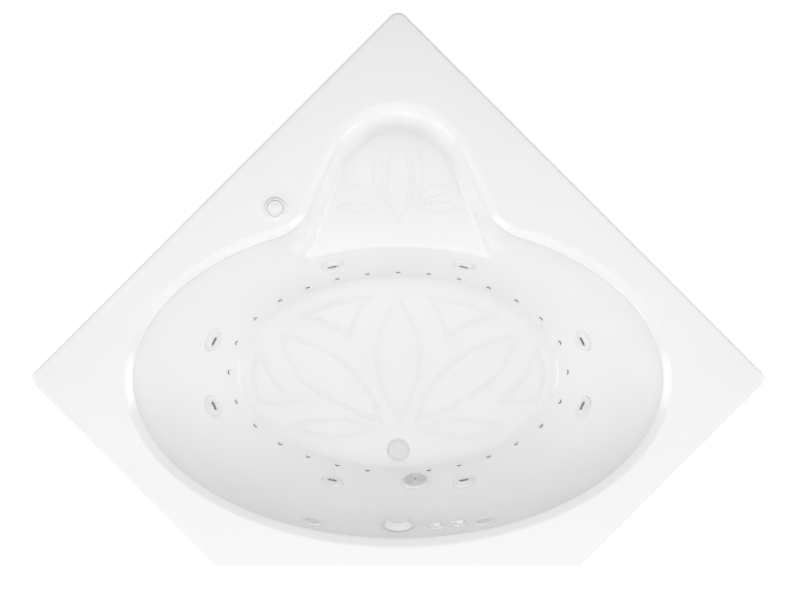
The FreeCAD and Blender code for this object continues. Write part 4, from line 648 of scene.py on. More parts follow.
class Hollow:
    """Distance to the bath's inner surface, less than zero in the open space."""

    def __init__(self, shape):
        self.shape = shape
        self.centre_y = deck_lines(shape)[2]
        self.floor_top = DECK_TOP - shape.well_depth

    def wall(self, x, y, z):
        """Distance to the well's wall."""
        shape = self.shape
        drop = np.clip((DECK_TOP - z) / shape.well_depth, 0, 1.2)
        share = drop ** shape.wall_power
        in_length = shape.well_half_length - shape.floor_half_length
        in_width = shape.well_half_width - shape.floor_half_width
        length = shape.well_half_length - in_length * share
        width = shape.well_half_width - in_width * share
        slope = shape.wall_power * np.maximum(drop, 1e-6) ** (shape.wall_power - 1) / shape.well_depth
        off = y - (self.centre_y + shape.floor_shift * drop)
        value = (x / length) ** 2 + (off / width) ** 2
        along_x = 2 * x / length ** 2
        along_y = 2 * off / width ** 2
        along_z = (-2 * x ** 2 / length ** 3 * in_length - 2 * off ** 2 / width ** 3 * in_width) * slope
        along_z = along_z + 2 * off / width ** 2 * shape.floor_shift / shape.well_depth
        return (value - 1) / (np.sqrt(along_x ** 2 + along_y ** 2 + along_z ** 2) + 1e-9)

    def alcove(self, x, y, z):
        """Distance to the seat alcove: a rear arch, two spreading sides and the seat."""
        shape = self.shape
        drop = np.clip((DECK_TOP - z) / shape.seat_depth, -0.2, 1.3)
        radius = ARCH_RADIUS - ARCH_TAPER * drop
        arch_y = self.centre_y + ARCH_REACH - ARCH_LEAN * drop
        flare = np.radians(FLARE - FLARE_LOSS * drop)
        off = y - arch_y
        side = np.abs(x)
        arch = np.hypot(side, off) - radius
        straight = side * np.cos(flare) + off * np.sin(flare) - radius
        plan = np.where(np.arctan2(off, side) >= flare, arch, straight)
        inside = sharpest(plan, DECK_TOP - shape.seat_depth - z, shape.seat_radius)
        return np.maximum(inside, self.centre_y + shape.well_half_width / 3 - y)

    def floor_height(self, wall):
        """Height of the floor at a distance from the wall, with the ring that curves up to it."""
        shape = self.shape
        reach = np.clip(past(wall + shape.ring_width, shape.crease), 0, shape.ring_width * 1.2)
        return self.floor_top + shape.ring_radius - np.sqrt(shape.ring_radius ** 2 - reach ** 2)

    def bowl(self, x, y, z):
        """Distance to well and alcove together."""
        shape = self.shape
        wall = self.wall(x, y, z)
        well = sharpest(wall, self.floor_height(wall) - z, shape.crease)
        over_seat = z - (DECK_TOP - shape.seat_depth)
        rise = smoothed(np.clip((over_seat - SEAT_FRONT_START) / SEAT_FRONT_RUN, 0, 1))
        radius = shape.seat_front_radius + (shape.join_radius - shape.seat_front_radius) * rise
        return joined(well, self.alcove(x, y, z), radius)

    def alcove_share(self, y):
        """0 at the well's rear edge, rising to 1 within the alcove."""
        return smoothed(np.clip((y - self.centre_y - self.shape.well_half_width) / ALCOVE_FADE, 0, 1))

    def surface(self, x, y, z):
        """Distance to the whole inner surface, with the deck and the sloped band at its edge."""
        shape = self.shape
        bowl = self.bowl(x, y, z)
        crease = shape.crease + (shape.alcove_crease - shape.crease) * self.alcove_share(y)
        fall = past(np.minimum(shape.rim_width - bowl, 2 * shape.rim_width), crease) * shape.rim_slope
        return joined(bowl, DECK_TOP - fall - z, crease)

    def slope(self, points, step=1e-5):
        """Gradient of the surface distance."""
        result = np.empty_like(points)
        for axis in range(3):
            shift = np.zeros(3)
            shift[axis] = step
            change = self.surface(*(points + shift).T) - self.surface(*(points - shift).T)
            result[:, axis] = change / (2 * step)
        return result


def net_faces(values, index):
    """Quads round every grid edge that crosses the surface, facing the open side."""
    open_side = values < 0
    faces = []
    for axis in range(3):
        near = [slice(1, -1)] * 3
        near[axis] = slice(0, -1)
        far = list(near)
        far[axis] = slice(1, None)
        here = open_side[tuple(near)]
        edges = np.argwhere(here != open_side[tuple(far)])
        turned = here[tuple(edges.T)]
        first = edges.copy()
        for other in range(3):
            if other != axis:
                first[:, other] += 1
        across = [other for other in range(3) if other != axis]
        if axis == 1:
            across.reverse()
        corners = []
        for step_u, step_v in ((0, 0), (-1, 0), (-1, -1), (0, -1)):
            cell = first.copy()
            cell[:, across[0]] += step_u
            cell[:, across[1]] += step_v
            corners.append(index[tuple(cell.T)])
        quads = np.stack(corners, 1)
        quads[turned] = quads[turned][:, ::-1]
        faces.append(quads)
    return np.concatenate(faces)


def bowl_net(shape):
    """Points and quads of the bowl with a strip of flat deck round it."""
    hollow = Hollow(shape)
    step = shape.skin_step
    margin, layers = 0.05, 2.26
    low = (-shape.well_half_length - margin, hollow.centre_y - shape.well_half_width - margin,
           hollow.floor_top - layers * step)
    high = (shape.well_half_length + margin, hollow.centre_y + ARCH_REACH + ARCH_RADIUS + margin,
            DECK_TOP + layers * step)
    lines = [np.arange(start, end, step) for start, end in zip(low, high)]
    grid = np.meshgrid(*lines, indexing="ij")
    values = hollow.surface(*grid).astype(np.float32)
    size = [count - 1 for count in values.shape]
    open_corners = np.zeros(size, np.uint8)
    for i in (0, 1):
        for j in (0, 1):
            for k in (0, 1):
                open_corners += values[i:i + size[0], j:j + size[1], k:k + size[2]] < 0
    crossed = (open_corners > 0) & (open_corners < 8)
    cells = np.argwhere(crossed)
    index = -np.ones(crossed.shape, np.int64)
    index[crossed] = np.arange(len(cells))
    points = np.stack([lines[axis][cells[:, axis]] + step / 2 for axis in range(3)], 1)
    quads = net_faces(values, index)
    for _ in range(6):
        slope = hollow.slope(points)
        points -= (hollow.surface(*points.T) / np.maximum((slope ** 2).sum(1), 1e-6))[:, None] * slope
    at_deck = np.full(len(points), DECK_TOP)
    plan = hollow.bowl(points[:, 0], points[:, 1], at_deck)
    edge = shape.rim_width + max(shape.crease, shape.alcove_crease)
    near = plan < edge + 2.5 * step
    quads = quads[near[quads].all(1)]
    flat = plan > edge + 0.2 * step
    points[flat, 2] = DECK_TOP
    return points, quads


def level_lands(shape, points, quads):
    """Flattens the wall under each fitting's flange and opens its hole."""
    near_edge, near_depth = 0.012, 0.03          # how far round and off a land the wall is bent to it
    level_edge, blend = 0.0015, 0.009            # level just past the land, then blended into the wall
    hole_depth = 0.02
    for place, land, hole in fitting_places(shape):
        matrix = np.array(place, float)
        local = (points - matrix[:3, 3]) @ matrix[:3, :3]
        reach = np.hypot(local[:, 0], local[:, 1])
        near = (reach < land + near_edge) & (np.abs(local[:, 2]) < near_depth)
        share = smoothed(np.clip((reach - land - level_edge) / blend, 0, 1))
        local[near, 2] *= share[near]
        points[near] = local[near] @ matrix[:3, :3].T + matrix[:3, 3]
        middles = local[quads].mean(1)
        gone = (np.hypot(middles[:, 0], middles[:, 1]) < hole) & (np.abs(middles[:, 2]) < hole_depth)
        removed = quads[gone]
        quads = quads[~gone]
        edge = np.intersect1d(removed, quads)
        flat = local[edge, :2]
        local[edge, :2] = flat / np.linalg.norm(flat, axis=1)[:, None] * hole
        points[edge] = local[edge] @ matrix[:3, :3].T + matrix[:3, 3]
    return points, quads


def deck_outline(shape, inset, steps=8):
    """The deck's rounded plan, set in by a distance, anticlockwise."""
    corner_y, front, middle, half = deck_lines(shape)
    diagonal = inset * math.sqrt(2)
    side = half - diagonal
    front_line = front + inset
    front_x = side - (middle - front_line)
    corners = [((0, corner_y - diagonal), shape.corner_radius), ((-side, middle), shape.corner_radius),
               ((-front_x, front_line), shape.front_corner_radius),
               ((front_x, front_line), shape.front_corner_radius), ((side, middle), shape.corner_radius)]
    outline = []
    for position, (corner, full_radius) in enumerate(corners):
        corner = Vector(corner)
        radius = max(full_radius - inset, 0.002)
        back = (Vector(corners[position - 1][0]) - corner).normalized()
        ahead = (Vector(corners[(position + 1) % len(corners)][0]) - corner).normalized()
        half_angle = back.angle(ahead) / 2
        centre = corner + (back + ahead).normalized() * (radius / math.sin(half_angle))
        start = corner + back * (radius / math.tan(half_angle)) - centre
        sweep = math.pi - 2 * half_angle
        for step in range(steps + 1):
            turn = sweep * step / steps
            outline.append((centre.x + start.x * math.cos(turn) - start.y * math.sin(turn),
                            centre.y + start.x * math.sin(turn) + start.y * math.cos(turn)))
    return outline


def boundary_loops(quads):
    """Closed rows of point numbers along the open edges of quads."""
    edges = np.concatenate([quads[:, [k, (k + 1) % 4]] for k in range(4)])
    count = edges.max() + 1
    forward = edges[:, 0] * count + edges[:, 1]
    backward = edges[:, 1] * count + edges[:, 0]
    lonely = edges[~np.isin(forward, backward)]
    after = {}
    for start, end in lonely.tolist():
        after.setdefault(start, []).append(end)
    loops = []
    while after:
        start = next(iter(after))
        loop = [start]
        here = after[start].pop()
        if not after[start]:
            del after[start]
        while here != start:
            loop.append(here)
            ends = after[here]
            step = ends.pop()
            if not ends:
                del after[here]
            here = step
        loops.append(loop)
    return loops


def deck_fill(shape, points, loop, hole_centre, hole_radius):
    """Flat triangles between the bowl's strip, the deck's edge and the button's hole."""
    plan = [tuple(points[number][:2]) for number in loop]
    edges = [(k, (k + 1) % len(plan)) for k in range(len(plan))]
    rim = deck_outline(shape, shape.edge_radius)
    start = len(plan)
    edges += [(start + k, start + (k + 1) % len(rim)) for k in range(len(rim))]
    plan += rim
    start = len(plan)
    around = 40
    ring = [(hole_centre[0] + hole_radius * x, hole_centre[1] + hole_radius * y) for x, y in circle(around)]
    edges += [(start + k, start + (k + 1) % around) for k in range(around)]
    plan += ring
    made, _, faces, _, _, _ = delaunay_2d_cdt([Vector(point) for point in plan], edges, [], 1, 1e-7)
    bowl = [Vector(points[number][:2]) for number in loop]
    inside = inside_loop(np.array([point[:2] for point in bowl]),
                         np.array([sum((made[k] for k in face), Vector((0, 0))) / 3 for face in faces]))
    kept = []
    for face, within in zip(faces, inside):
        middle = sum((made[k] for k in face), Vector((0, 0))) / 3
        if not within and (middle - Vector(hole_centre)).length > hole_radius:
            kept.append(face)
    return [(point.x, point.y, DECK_TOP) for point in made], kept


def inside_loop(loop, spots):
    """Which spots lie inside a closed plan loop."""
    inside = np.zeros(len(spots), bool)
    after = np.roll(loop, -1, axis=0)
    for (x1, y1), (x2, y2) in zip(loop, after):
        if y1 == y2:
            continue
        crosses = (spots[:, 1] > min(y1, y2)) & (spots[:, 1] <= max(y1, y2))
        at_x = x1 + (spots[:, 1] - y1) * (x2 - x1) / (y2 - y1)
        inside ^= crosses & (spots[:, 0] < at_x)
    return inside


BUTTON_HOLE_RADIUS = 0.0152


def shell_mesh(shape):
    """The whole shell: bowl, deck, rounded edge and lip, with its thickness."""
    points, quads = bowl_net(shape)
    rim_loop = max(boundary_loops(quads), key=len)
    points, quads = level_lands(shape, points, quads)
    hole_centre = plan_centre(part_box("deck_button"), DECK_TOP)[:2]
    fill = deck_fill(shape, points, rim_loop, hole_centre, BUTTON_HOLE_RADIUS)
    made = bmesh.new()
    for cloud, faces in ((points.tolist(), quads.tolist()), fill):
        corners = [made.verts.new(point) for point in cloud]
        for face in faces:
            made.faces.new([corners[k] for k in face])
    rows = []
    bends = 8
    radius = shape.edge_radius
    for step in range(bends + 1):
        turn = math.pi / 2 * step / bends
        rows.append((radius * (1 - math.sin(turn)), DECK_TOP - radius * (1 - math.cos(turn))))
    rows.append((0, DECK_TOP - shape.skirt_drop))
    rings = []
    for inset, height in rows:
        rings.append([made.verts.new((*point, height)) for point in deck_outline(shape, inset)])
    for upper, lower in zip(rings, rings[1:]):
        for k in range(len(upper)):
            after = (k + 1) % len(upper)
            made.faces.new((upper[after], upper[k], lower[k], lower[after]))
    bmesh.ops.remove_doubles(made, verts=made.verts, dist=2e-6)
    loose = [vert for vert in made.verts if not vert.link_faces]
    bmesh.ops.delete(made, geom=loose, context="VERTS")
    bmesh.ops.recalc_face_normals(made, faces=made.faces)
    made.normal_update()
    top = max(made.faces, key=lambda face: face.calc_center_median().z)
    if top.normal.z < 0:
        bmesh.ops.reverse_faces(made, faces=made.faces)
        made.normal_update()
    thicken(made, shape.wall)
    mesh = bpy.data.meshes.new("bath_shell")
    made.to_mesh(mesh)
    made.free()
    return mesh


def skin_normals(shape, mesh):
    """Corner normals taken from the hollow's own slope, so that the moulded lines shade evenly."""
    hollow = Hollow(shape)
    points = np.empty(len(mesh.vertices) * 3)
    mesh.vertices.foreach_get("co", points)
    points = points.reshape(-1, 3)
    plan = hollow.bowl(points[:, 0], points[:, 1], np.full(len(points), DECK_TOP))
    near = np.flatnonzero(plan < shape.rim_width + shape.alcove_crease + 3 * shape.skin_step)
    on_surface, least_agreement = 3e-5, 0.2
    near = near[np.abs(hollow.surface(*points[near].T)) < on_surface]
    slope = hollow.slope(points[near])
    normals = np.zeros_like(points)
    slope /= -np.linalg.norm(slope, axis=1)[:, None]
    steepness = np.hypot(slope[:, 0], slope[:, 1])
    slope[:, 2] += shape.alcove_lift * hollow.alcove_share(points[near, 1]) * steepness
    normals[near] = slope / np.linalg.norm(slope, axis=1)[:, None]
    corners = np.empty(len(mesh.loops) * 3)
    mesh.corner_normals.foreach_get("vector", corners)
    corners = corners.reshape(-1, 3)
    ends = np.empty(len(mesh.loops), np.int32)
    mesh.loops.foreach_get("vertex_index", ends)
    known = normals[ends]
    agree = (known * corners).sum(1) > least_agreement
    corners[agree] = known[agree]
    mesh.normals_split_custom_set(corners)


def thicken(made, wall):
    """Adds an inner layer at a wall's thickness and closes the edges."""
    outer = list(made.verts)
    faces = list(made.faces)
    open_edges = [edge for edge in made.edges if len(edge.link_faces) == 1]
    inner = {vert: made.verts.new(vert.co - vert.normal * wall) for vert in outer}
    for face in faces:
        made.faces.new([inner[vert] for vert in reversed(face.verts)])
    for edge in open_edges:
        loop = edge.link_loops[0]
        start, end = loop.vert, loop.link_loop_next.vert
        made.faces.new((end, start, inner[start], inner[end]))


class BATH_OT_shell(bpy.types.Operator):
    """Builds the smooth moulded shell in place of the plain one"""

    bl_idname = "bath.shell"
    bl_label = "Moulded shell"

    def execute(self, context):
        shape = context.scene.bath_shape
        piece = place_piece("bath_shell", shell_mesh(shape), "acrylic", TUB, ["tub_shell"],
                            sharp=50)
        skin_normals(shape, piece.data)
        return {"FINISHED"}


# ---------------------------------------------------------------- leaf relief
FLOOR_LEAVES = (
    ((0, -19), (-31, -53), (-58, -104), (-74, -165), (-77, -217), (-64, -278), (-40, -339), (0, -412)),
    ((-369, -123), (-299, -138), (-223, -168), (-153, -217), (-98, -278), (-61, -339), (-37, -415),
     (-92, -396), (-162, -366), (-238, -323), (-305, -269), (-347, -202)),
    ((-323, -83), (-268, -53), (-183, -25), (-68, -10), (-104, -56), (-125, -107), (-144, -159),
     (-192, -126), (-253, -98)),
    ((-414, -156), (-442, -211), (-448, -272), (-427, -345), (-360, -354), (-284, -348), (-357, -278),
     (-393, -217)),
    ((-351, -418), (-299, -396), (-208, -381), (-116, -390), (-37, -427), (-116, -448), (-208, -457),
     (-290, -442)),
)
SEAT_LEAVES = (
    ((0, 439), (-24, 412), (-36, 373), (-41, 329), (-36, 275), (-21, 231), (0, 195)),
    ((-51, 427), (-72, 394), (-81, 353), (-75, 305), (-54, 269), (-24, 228), (-36, 275), (-41, 329),
     (-39, 388)),
    ((-167, 299), (-122, 317), (-78, 302), (-42, 254), (-90, 266), (-131, 281)),
    ((-191, 243), (-146, 266), (-96, 266), (-42, 246), (-96, 228), (-146, 228)),
)


def smooth_outline(corners, sharp, per_run=14):
    """A closed curve through corners given in millimetres; the corners numbered in sharp stay pointed."""
    points = [Vector((x / 1000, y / 1000)) for x, y in corners]
    count = len(points)
    curve = []
    for k in range(count):
        here, after = points[k], points[(k + 1) % count]
        before, beyond = points[k - 1], points[(k + 2) % count]
        if k in sharp:
            before = here + (here - after)
        if (k + 1) % count in sharp:
            beyond = after + (after - here)
        for step in range(per_run):
            t = step / per_run
            bend = 2 * before - 5 * here + 4 * after - beyond
            twist = 3 * here - before - 3 * after + beyond
            curve.append(0.5 * (2 * here + (after - before) * t + bend * t ** 2 + twist * t ** 3))
    return curve


def inner_distance(outline, spots):
    """Distance of each spot inside a closed outline to that outline; zero outside it."""
    line = np.array(outline)
    ahead = np.roll(line, -1, axis=0) - line
    length = (ahead ** 2).sum(1)
    nearest = np.full(len(spots), np.inf)
    inside = inside_loop(line, spots)
    held = spots[inside]
    found = np.full(len(held), np.inf)
    for corner, run, square in zip(line, ahead, length):
        off = held - corner
        share = np.clip((off @ run) / square, 0, 1)
        found = np.minimum(found, ((off - share[:, None] * run) ** 2).sum(1))
    nearest[inside] = np.sqrt(found)
    nearest[~inside] = 0
    return nearest


def relief_mesh(name, outlines, level, width, rise, step):
    """Low flat-topped bands along the inside of closed outlines, as one finely divided sheet."""
    corners = np.concatenate([np.array(outline) for outline in outlines])
    low, high = corners.min(0) - step, corners.max(0) + step
    count = np.ceil((high - low) / step).astype(int) + 1
    x, y = (low[axis] + step * np.arange(count[axis]) for axis in (0, 1))
    spots = np.stack(np.meshgrid(x, y, indexing="ij"), -1).reshape(-1, 2)
    height = np.full(len(spots), -1.0)
    edge = width * 0.22                          # run of a band's sloped side
    sunk, barely = 0.0003, 0.00001               # the sheet's hem lies this deep; what counts as raised
    for outline in outlines:
        reach = inner_distance(outline, spots)
        share = np.clip(np.minimum(reach, width - reach) / edge, 0, 1)
        band = smoothed(share) * (rise + sunk) - sunk
        height = np.maximum(height, np.where(reach > 0, band, -sunk))
    raised = height > barely - sunk
    index = np.arange(len(spots)).reshape(count)
    cells = np.stack([index[:-1, :-1], index[1:, :-1], index[1:, 1:], index[:-1, 1:]], -1).reshape(-1, 4)
    cells = cells[raised[cells].any(1)]
    used, cells = np.unique(cells, return_inverse=True)
    points = np.column_stack([spots[used], level(spots[used]) + height[used]])
    return mesh_from(name, points.tolist(), cells.reshape(-1, 4).tolist())


def leaf_outlines(leaves):
    """Outlines of the leaves, with every side leaf mirrored about the middle line."""
    outlines = []
    for corners in leaves:
        if corners[0][0] == 0:
            whole = list(corners) + [(-x, y) for x, y in corners[-2:0:-1]]
            outlines.append(smooth_outline(whole, (0, len(corners) - 1)))
            continue
        pointed = pointed_corners(corners)
        outlines.append(smooth_outline(corners, pointed))
        outlines.append([Vector((-point.x, point.y)) for point in outlines[-1]])
    return outlines


SHARP_TURN = 1.05


def pointed_corners(corners):
    """Numbers of the corners where an outline turns by more than about 60 degrees."""
    points = [Vector(corner) for corner in corners]
    count = len(points)
    return [k for k in range(count)
            if (points[k] - points[k - 1]).angle(points[(k + 1) % count] - points[k]) > SHARP_TURN]


class BATH_OT_relief(bpy.types.Operator):
    """Lays the leaf relief on the floor and the seat"""

    bl_idname = "bath.relief"
    bl_label = "Leaf relief"

    def execute(self, context):
        shape = context.scene.bath_shape
        relief = context.scene.bath_relief
        hollow = Hollow(shape)

        def floor_level(spots):
            return hollow.floor_height(hollow.wall(spots[:, 0], spots[:, 1], hollow.floor_top))

        def seat_level(spots):
            return DECK_TOP - shape.seat_depth

        for name, leaves, level, width in (
                ("floor_relief", FLOOR_LEAVES, floor_level, relief.band_width),
                ("seat_relief", SEAT_LEAVES, seat_level, relief.seat_band_width)):
            mesh = relief_mesh(name, leaf_outlines(leaves), level, width, relief.band_rise, relief.sheet_step)
            place_piece(name, mesh, "stipple", TUB, sharp=60)
        return {"FINISHED"}


# ---------------------------------------------------------------- fittings in the well
class BATH_OT_jets(bpy.types.Operator):
    """Bezels, nozzles and bodies of the eight water jets"""

    bl_idname = "bath.jets"
    bl_label = "Water jets"

    def execute(self, context):
        for number in JETS:
            place = joint_place(f"bezel_{number}_turn")
            mesh = closed_lathe(f"bezel_ring_{number}", [
                (0.0158, -0.0113), (0.0125, -0.0113), (0.0125, -0.016), (0.0187, -0.016), (0.0187, 0.0028),
                (0.0293, 0.0028), (0.0293, 0.0003), (0.033, 0.0001), (0.0328, 0.0012), (0.0316, 0.0034),
                (0.0292, 0.0052), (0.0262, 0.0044), (0.0240, 0.0030), (0.0210, 0.0030), (0.0196, 0.0046),
                (0.0158, 0.0050)], place, 0.0016)
            place_piece(f"bezel_ring_{number}", mesh, "fitting", f"bezel_{number}",
                        [f"jet_bezel_{number}"], sharp=50)
            place_piece(f"nozzle_face_{number}", nozzle_mesh(f"nozzle_face_{number}", place), "fitting",
                        f"nozzle_{number}", [f"jet_nozzle_{number}"], sharp=50)
            # Grey sheet: painted shade of the nozzle's recess.
            place_piece(f"nozzle_recess_shade_{number}", recess_shade_sheet(f"nozzle_recess_shade_{number}", place), "recess",
                        f"nozzle_{number}")
            # Dark cups: painted shade inside the nozzle's three holes.
            place_piece(f"nozzle_holes_{number}", hole_shade_cups(f"nozzle_holes_{number}", place), "hole",
                        f"nozzle_{number}")
        dress("jet_wall_fittings", "nylon")
        dress("jet_bodies", "white_pipe")
        dress("jet_air_hose", "hose")
        return {"FINISHED"}


RECESS_HALF, RECESS_RADIUS = 0.0080, 0.0056      # between the recess's end centres; of its round ends
NOZZLE_RADIUS, NOZZLE_FACE, NOZZLE_BACK = 0.0155, 0.0051, -0.0109


def nozzle_mesh(name, place):
    """A turning nozzle: crowned face with its long recess, rounded edge and plain barrel."""
    around, rings = 96, 36
    sunk, round_over, round_drop = 0.0031, 0.0014, 0.0009
    play, ramp = 0.0002, 0.0004                  # gap round the recess's painted-shade sheet; run of its wall
    turned = circle(around)
    points = [(0.0, 0.0, NOZZLE_FACE - sunk)]
    for ring in range(1, rings + 1):
        reach = NOZZLE_RADIUS * ring / rings
        rounding = max(reach - NOZZLE_RADIUS + round_over, 0) / round_over
        for across, along in turned:
            x, y = reach * across, reach * along
            inside = RECESS_RADIUS + play - math.hypot(max(abs(x) - RECESS_HALF, 0), y)
            sink = sunk * min(max(inside / ramp, 0), 1)
            points.append((x, y, NOZZLE_FACE - round_drop * rounding ** 2 - sink))
    points += [(NOZZLE_RADIUS * x, NOZZLE_RADIUS * y, NOZZLE_BACK) for x, y in turned]
    points.append((0.0, 0.0, NOZZLE_BACK))
    faces = [(0, 1 + step, 1 + (step + 1) % around) for step in range(around)]
    faces += [(first, fourth, third, second) for first, second, third, fourth in strips(1, around, rings + 1)]
    last = 1 + rings * around
    faces += [(last + step, len(points) - 1, last + (step + 1) % around) for step in range(around)]
    return mesh_from(name, [place @ Vector(point) for point in points], faces)


def recess_shade_sheet(name, place):
    """Grey sheet in a nozzle's recess, dished round its three holes: painted shade of the recess."""
    around, floor, lip = 32, 0.0023, 0.0050
    least_length = 0.35                          # share of its length that the innermost ring keeps
    rim = []
    for x, y in circle(around):
        side = RECESS_HALF if x > 0 else -RECESS_HALF
        rim.append((side + RECESS_RADIUS * x, RECESS_RADIUS * y))
    rings = ((1.0, lip), (0.97, floor + 0.0006), (0.86, floor), (0.5, floor - 0.0001), (0.2, floor + 0.0001))
    points = []
    for share, height in rings:
        length = least_length + (1 - least_length) * share
        points += [place @ Vector((x * length, y * share, height)) for x, y in rim]
    faces = strips(0, around, len(rings))
    faces.append(range(len(points) - around, len(points)))
    return mesh_from(name, points, faces)


def hole_shade_cups(name, place):
    """Three dark dishes at the mouths of the water holes in a nozzle's recess: painted shade inside the
    holes.
    """
    around = 20
    rings = ((0.0029, 0.0027), (0.0026, 0.0030), (0.0023, 0.0027), (0.0014, 0.0025))
    points = []
    faces = []
    for middle in (-RECESS_HALF, 0, RECESS_HALF):
        faces += strips(len(points), around, len(rings))
        for reach, height in rings:
            points += [place @ Vector((middle + reach * x, reach * y, height)) for x, y in circle(around)]
        faces.append(range(len(points) - around, len(points)))
    return mesh_from(name, points, faces)


INJECTOR_STEPS, INJECTOR_HEIGHT = 28, 0.037      # equal steps round the floor; above the well's floor


def injector_frames(shape):
    """Equal steps along the oval at injector level, from the rear; the front step is left out."""
    height = DECK_TOP - shape.well_depth + INJECTOR_HEIGHT
    length, width, middle = well_oval(shape, height)
    turns = np.linspace(0, 2 * math.pi, 7201)
    line = np.stack([length * np.sin(turns), width * np.cos(turns)], 1)
    run = np.concatenate([[0], np.cumsum(np.linalg.norm(np.diff(line, axis=0), axis=1))])
    frames = []
    for step in range(INJECTOR_STEPS):
        if step == INJECTOR_STEPS // 2:
            continue
        turn = np.interp(run[-1] * step / INJECTOR_STEPS, run, turns)
        angle = math.degrees(math.atan2(width * math.cos(turn), length * math.sin(turn)))
        frames.append(wall_place(shape, angle, height, 0))
    return frames


def injector_shade_crescents(name, places):
    """Dark crescents on the upper side of the injector caps: painted shade in the gap and air slot under each
    cap.
    """
    columns = 15
    half_sweep, middle_reach, half_width, level = math.radians(84), 0.0060, 0.0019, 0.00275
    rows = ((0.0, -0.0004), (0.25, 0.0003), (0.75, 0.0003), (1.0, -0.0004))
    points = []
    faces = []
    for place in places:
        start = len(points)
        for column in range(columns):
            share = 2 * column / (columns - 1) - 1
            turn = math.pi / 2 + share * half_sweep
            spread = half_width * (1 - 0.8 * share * share)
            for across, lift in rows:
                reach = middle_reach + spread * (2 * across - 1)
                spot = Vector((reach * math.cos(turn), reach * math.sin(turn), level + lift))
                points.append(place @ spot)
        for column in range(columns - 1):
            for row in range(len(rows) - 1):
                here = start + column * len(rows) + row
                faces.append((here, here + 1, here + len(rows) + 1, here + len(rows)))
    return mesh_from(name, points, faces)


class BATH_OT_suction(bpy.types.Operator):
    """Suction fitting with its grille"""

    bl_idname = "bath.suction"
    bl_label = "Suction fitting"

    def execute(self, context):
        dress("suction_body", "fitting")
        dress("suction_cover", "grille")
        dress("cover_screw", "steel")
        return {"FINISHED"}


class BATH_OT_air(bpy.types.Operator):
    """Air injectors, their channel and the two air controls"""

    bl_idname = "bath.air"
    bl_label = "Air injectors and controls"

    def execute(self, context):
        dress("air_injector_caps", "fitting")
        # The dark crescents are painted shade in the gap and air slot under each injector cap's upper side.
        mesh = injector_shade_crescents("injector_mouth_shade", injector_frames(context.scene.bath_shape))
        place_piece("injector_mouth_shade", mesh, "hole", TUB)
        dress("air_channel", "white_pipe")
        dress("air_control_bodies", "fitting")
        for number in AIR_CONTROLS:
            dress(f"air_control_knob_{number}", "fitting")
        return {"FINISHED"}


class BATH_OT_lights(bpy.types.Operator):
    """Two underwater lights"""

    bl_idname = "bath.lights"
    bl_label = "Lights"

    def execute(self, context):
        dress("light_housings", "fitting")
        dress("light_lenses", "lens")
        return {"FINISHED"}


CABLE_ROUTE = (
    (0, -0.74899, 0.44357), (0, -0.78301, 0.43181), (0.036, -0.74642, 0.33357), (0.036, -0.73042, 0.190),
    (0.039, -0.71042, 0.130), (0.044, -0.63442, 0.084), (0.090, -0.5543, 0.084), (0.090, -0.4843, 0.084),
    (0.0322, -0.4843, 0.084))
SWITCH_TUBE_ROUTE = (
    (-0.3564, 0.2381, 0.542), (-0.3564, 0.2381, 0.472), (-0.345, 0.275, 0.400), (-0.325, 0.335, 0.300),
    (-0.285, 0.390, 0.215), (-0.220, 0.420, 0.176), (-0.170, 0.420, 0.168), (-0.1202, 0.420, 0.168))
BLOWER_HOSE_ROUTE = (
    (0.800, -0.2573, 0.260), (0.800, -0.2573, 0.335), (0.685, -0.2518, 0.335), (0.685, -0.2463, 0.140),
    (0.565, -0.2463, 0.140))


class BATH_OT_waste(bpy.types.Operator):
    """Overflow with its turn knob, drain with its stopper, cable and waste pipes"""

    bl_idname = "bath.waste"
    bl_label = "Overflow and drain"

    def execute(self, context):
        place = joint_place("overflow_dial_turn")
        mesh = lathe_mesh("overflow_dial", [
            (0, -0.02), (0.005, -0.02), (0.005, 0.0035), (0.009, 0.0035), (0.009, 0.013), (0.031, 0.013),
            (0.040, 0.0008), (0.043, 0.0008), (0.043, 0.004), (0.0295, 0.0185), (0.027, 0.02),
            (0.0205, 0.0188), (0, 0.0184)], place, 0.0022, 96)
        place_piece("overflow_dial", mesh, "fitting", "overflow_dial", ["overflow_knob"],
                    sharp=60)
        dress("overflow_body", "grey_pipe")
        mesh = lathe_mesh("stopper_disc", [
            (0, -0.038), (0.004, -0.038), (0.004, -0.004), (0.0215, -0.002), (0.0215, 0.0027), (0.03, 0.0027),
            (0.03, 0.0051), (0.0282, 0.0068), (0.024, 0.0069), (0.0225, 0.0062), (0.012, 0.0069),
            (0, 0.0074)], drain_place(context.scene.bath_shape), 0.0012, 96)
        place_piece("stopper_disc", mesh, "stopper", "stopper", ["drain_stopper"], sharp=60)
        dress("drain_flange", "stopper")
        hose_piece("stopper_cable", CABLE_ROUTE, 0.006, "black", "drain_cable")
        dress("waste_pipes", "grey_pipe")
        return {"FINISHED"}


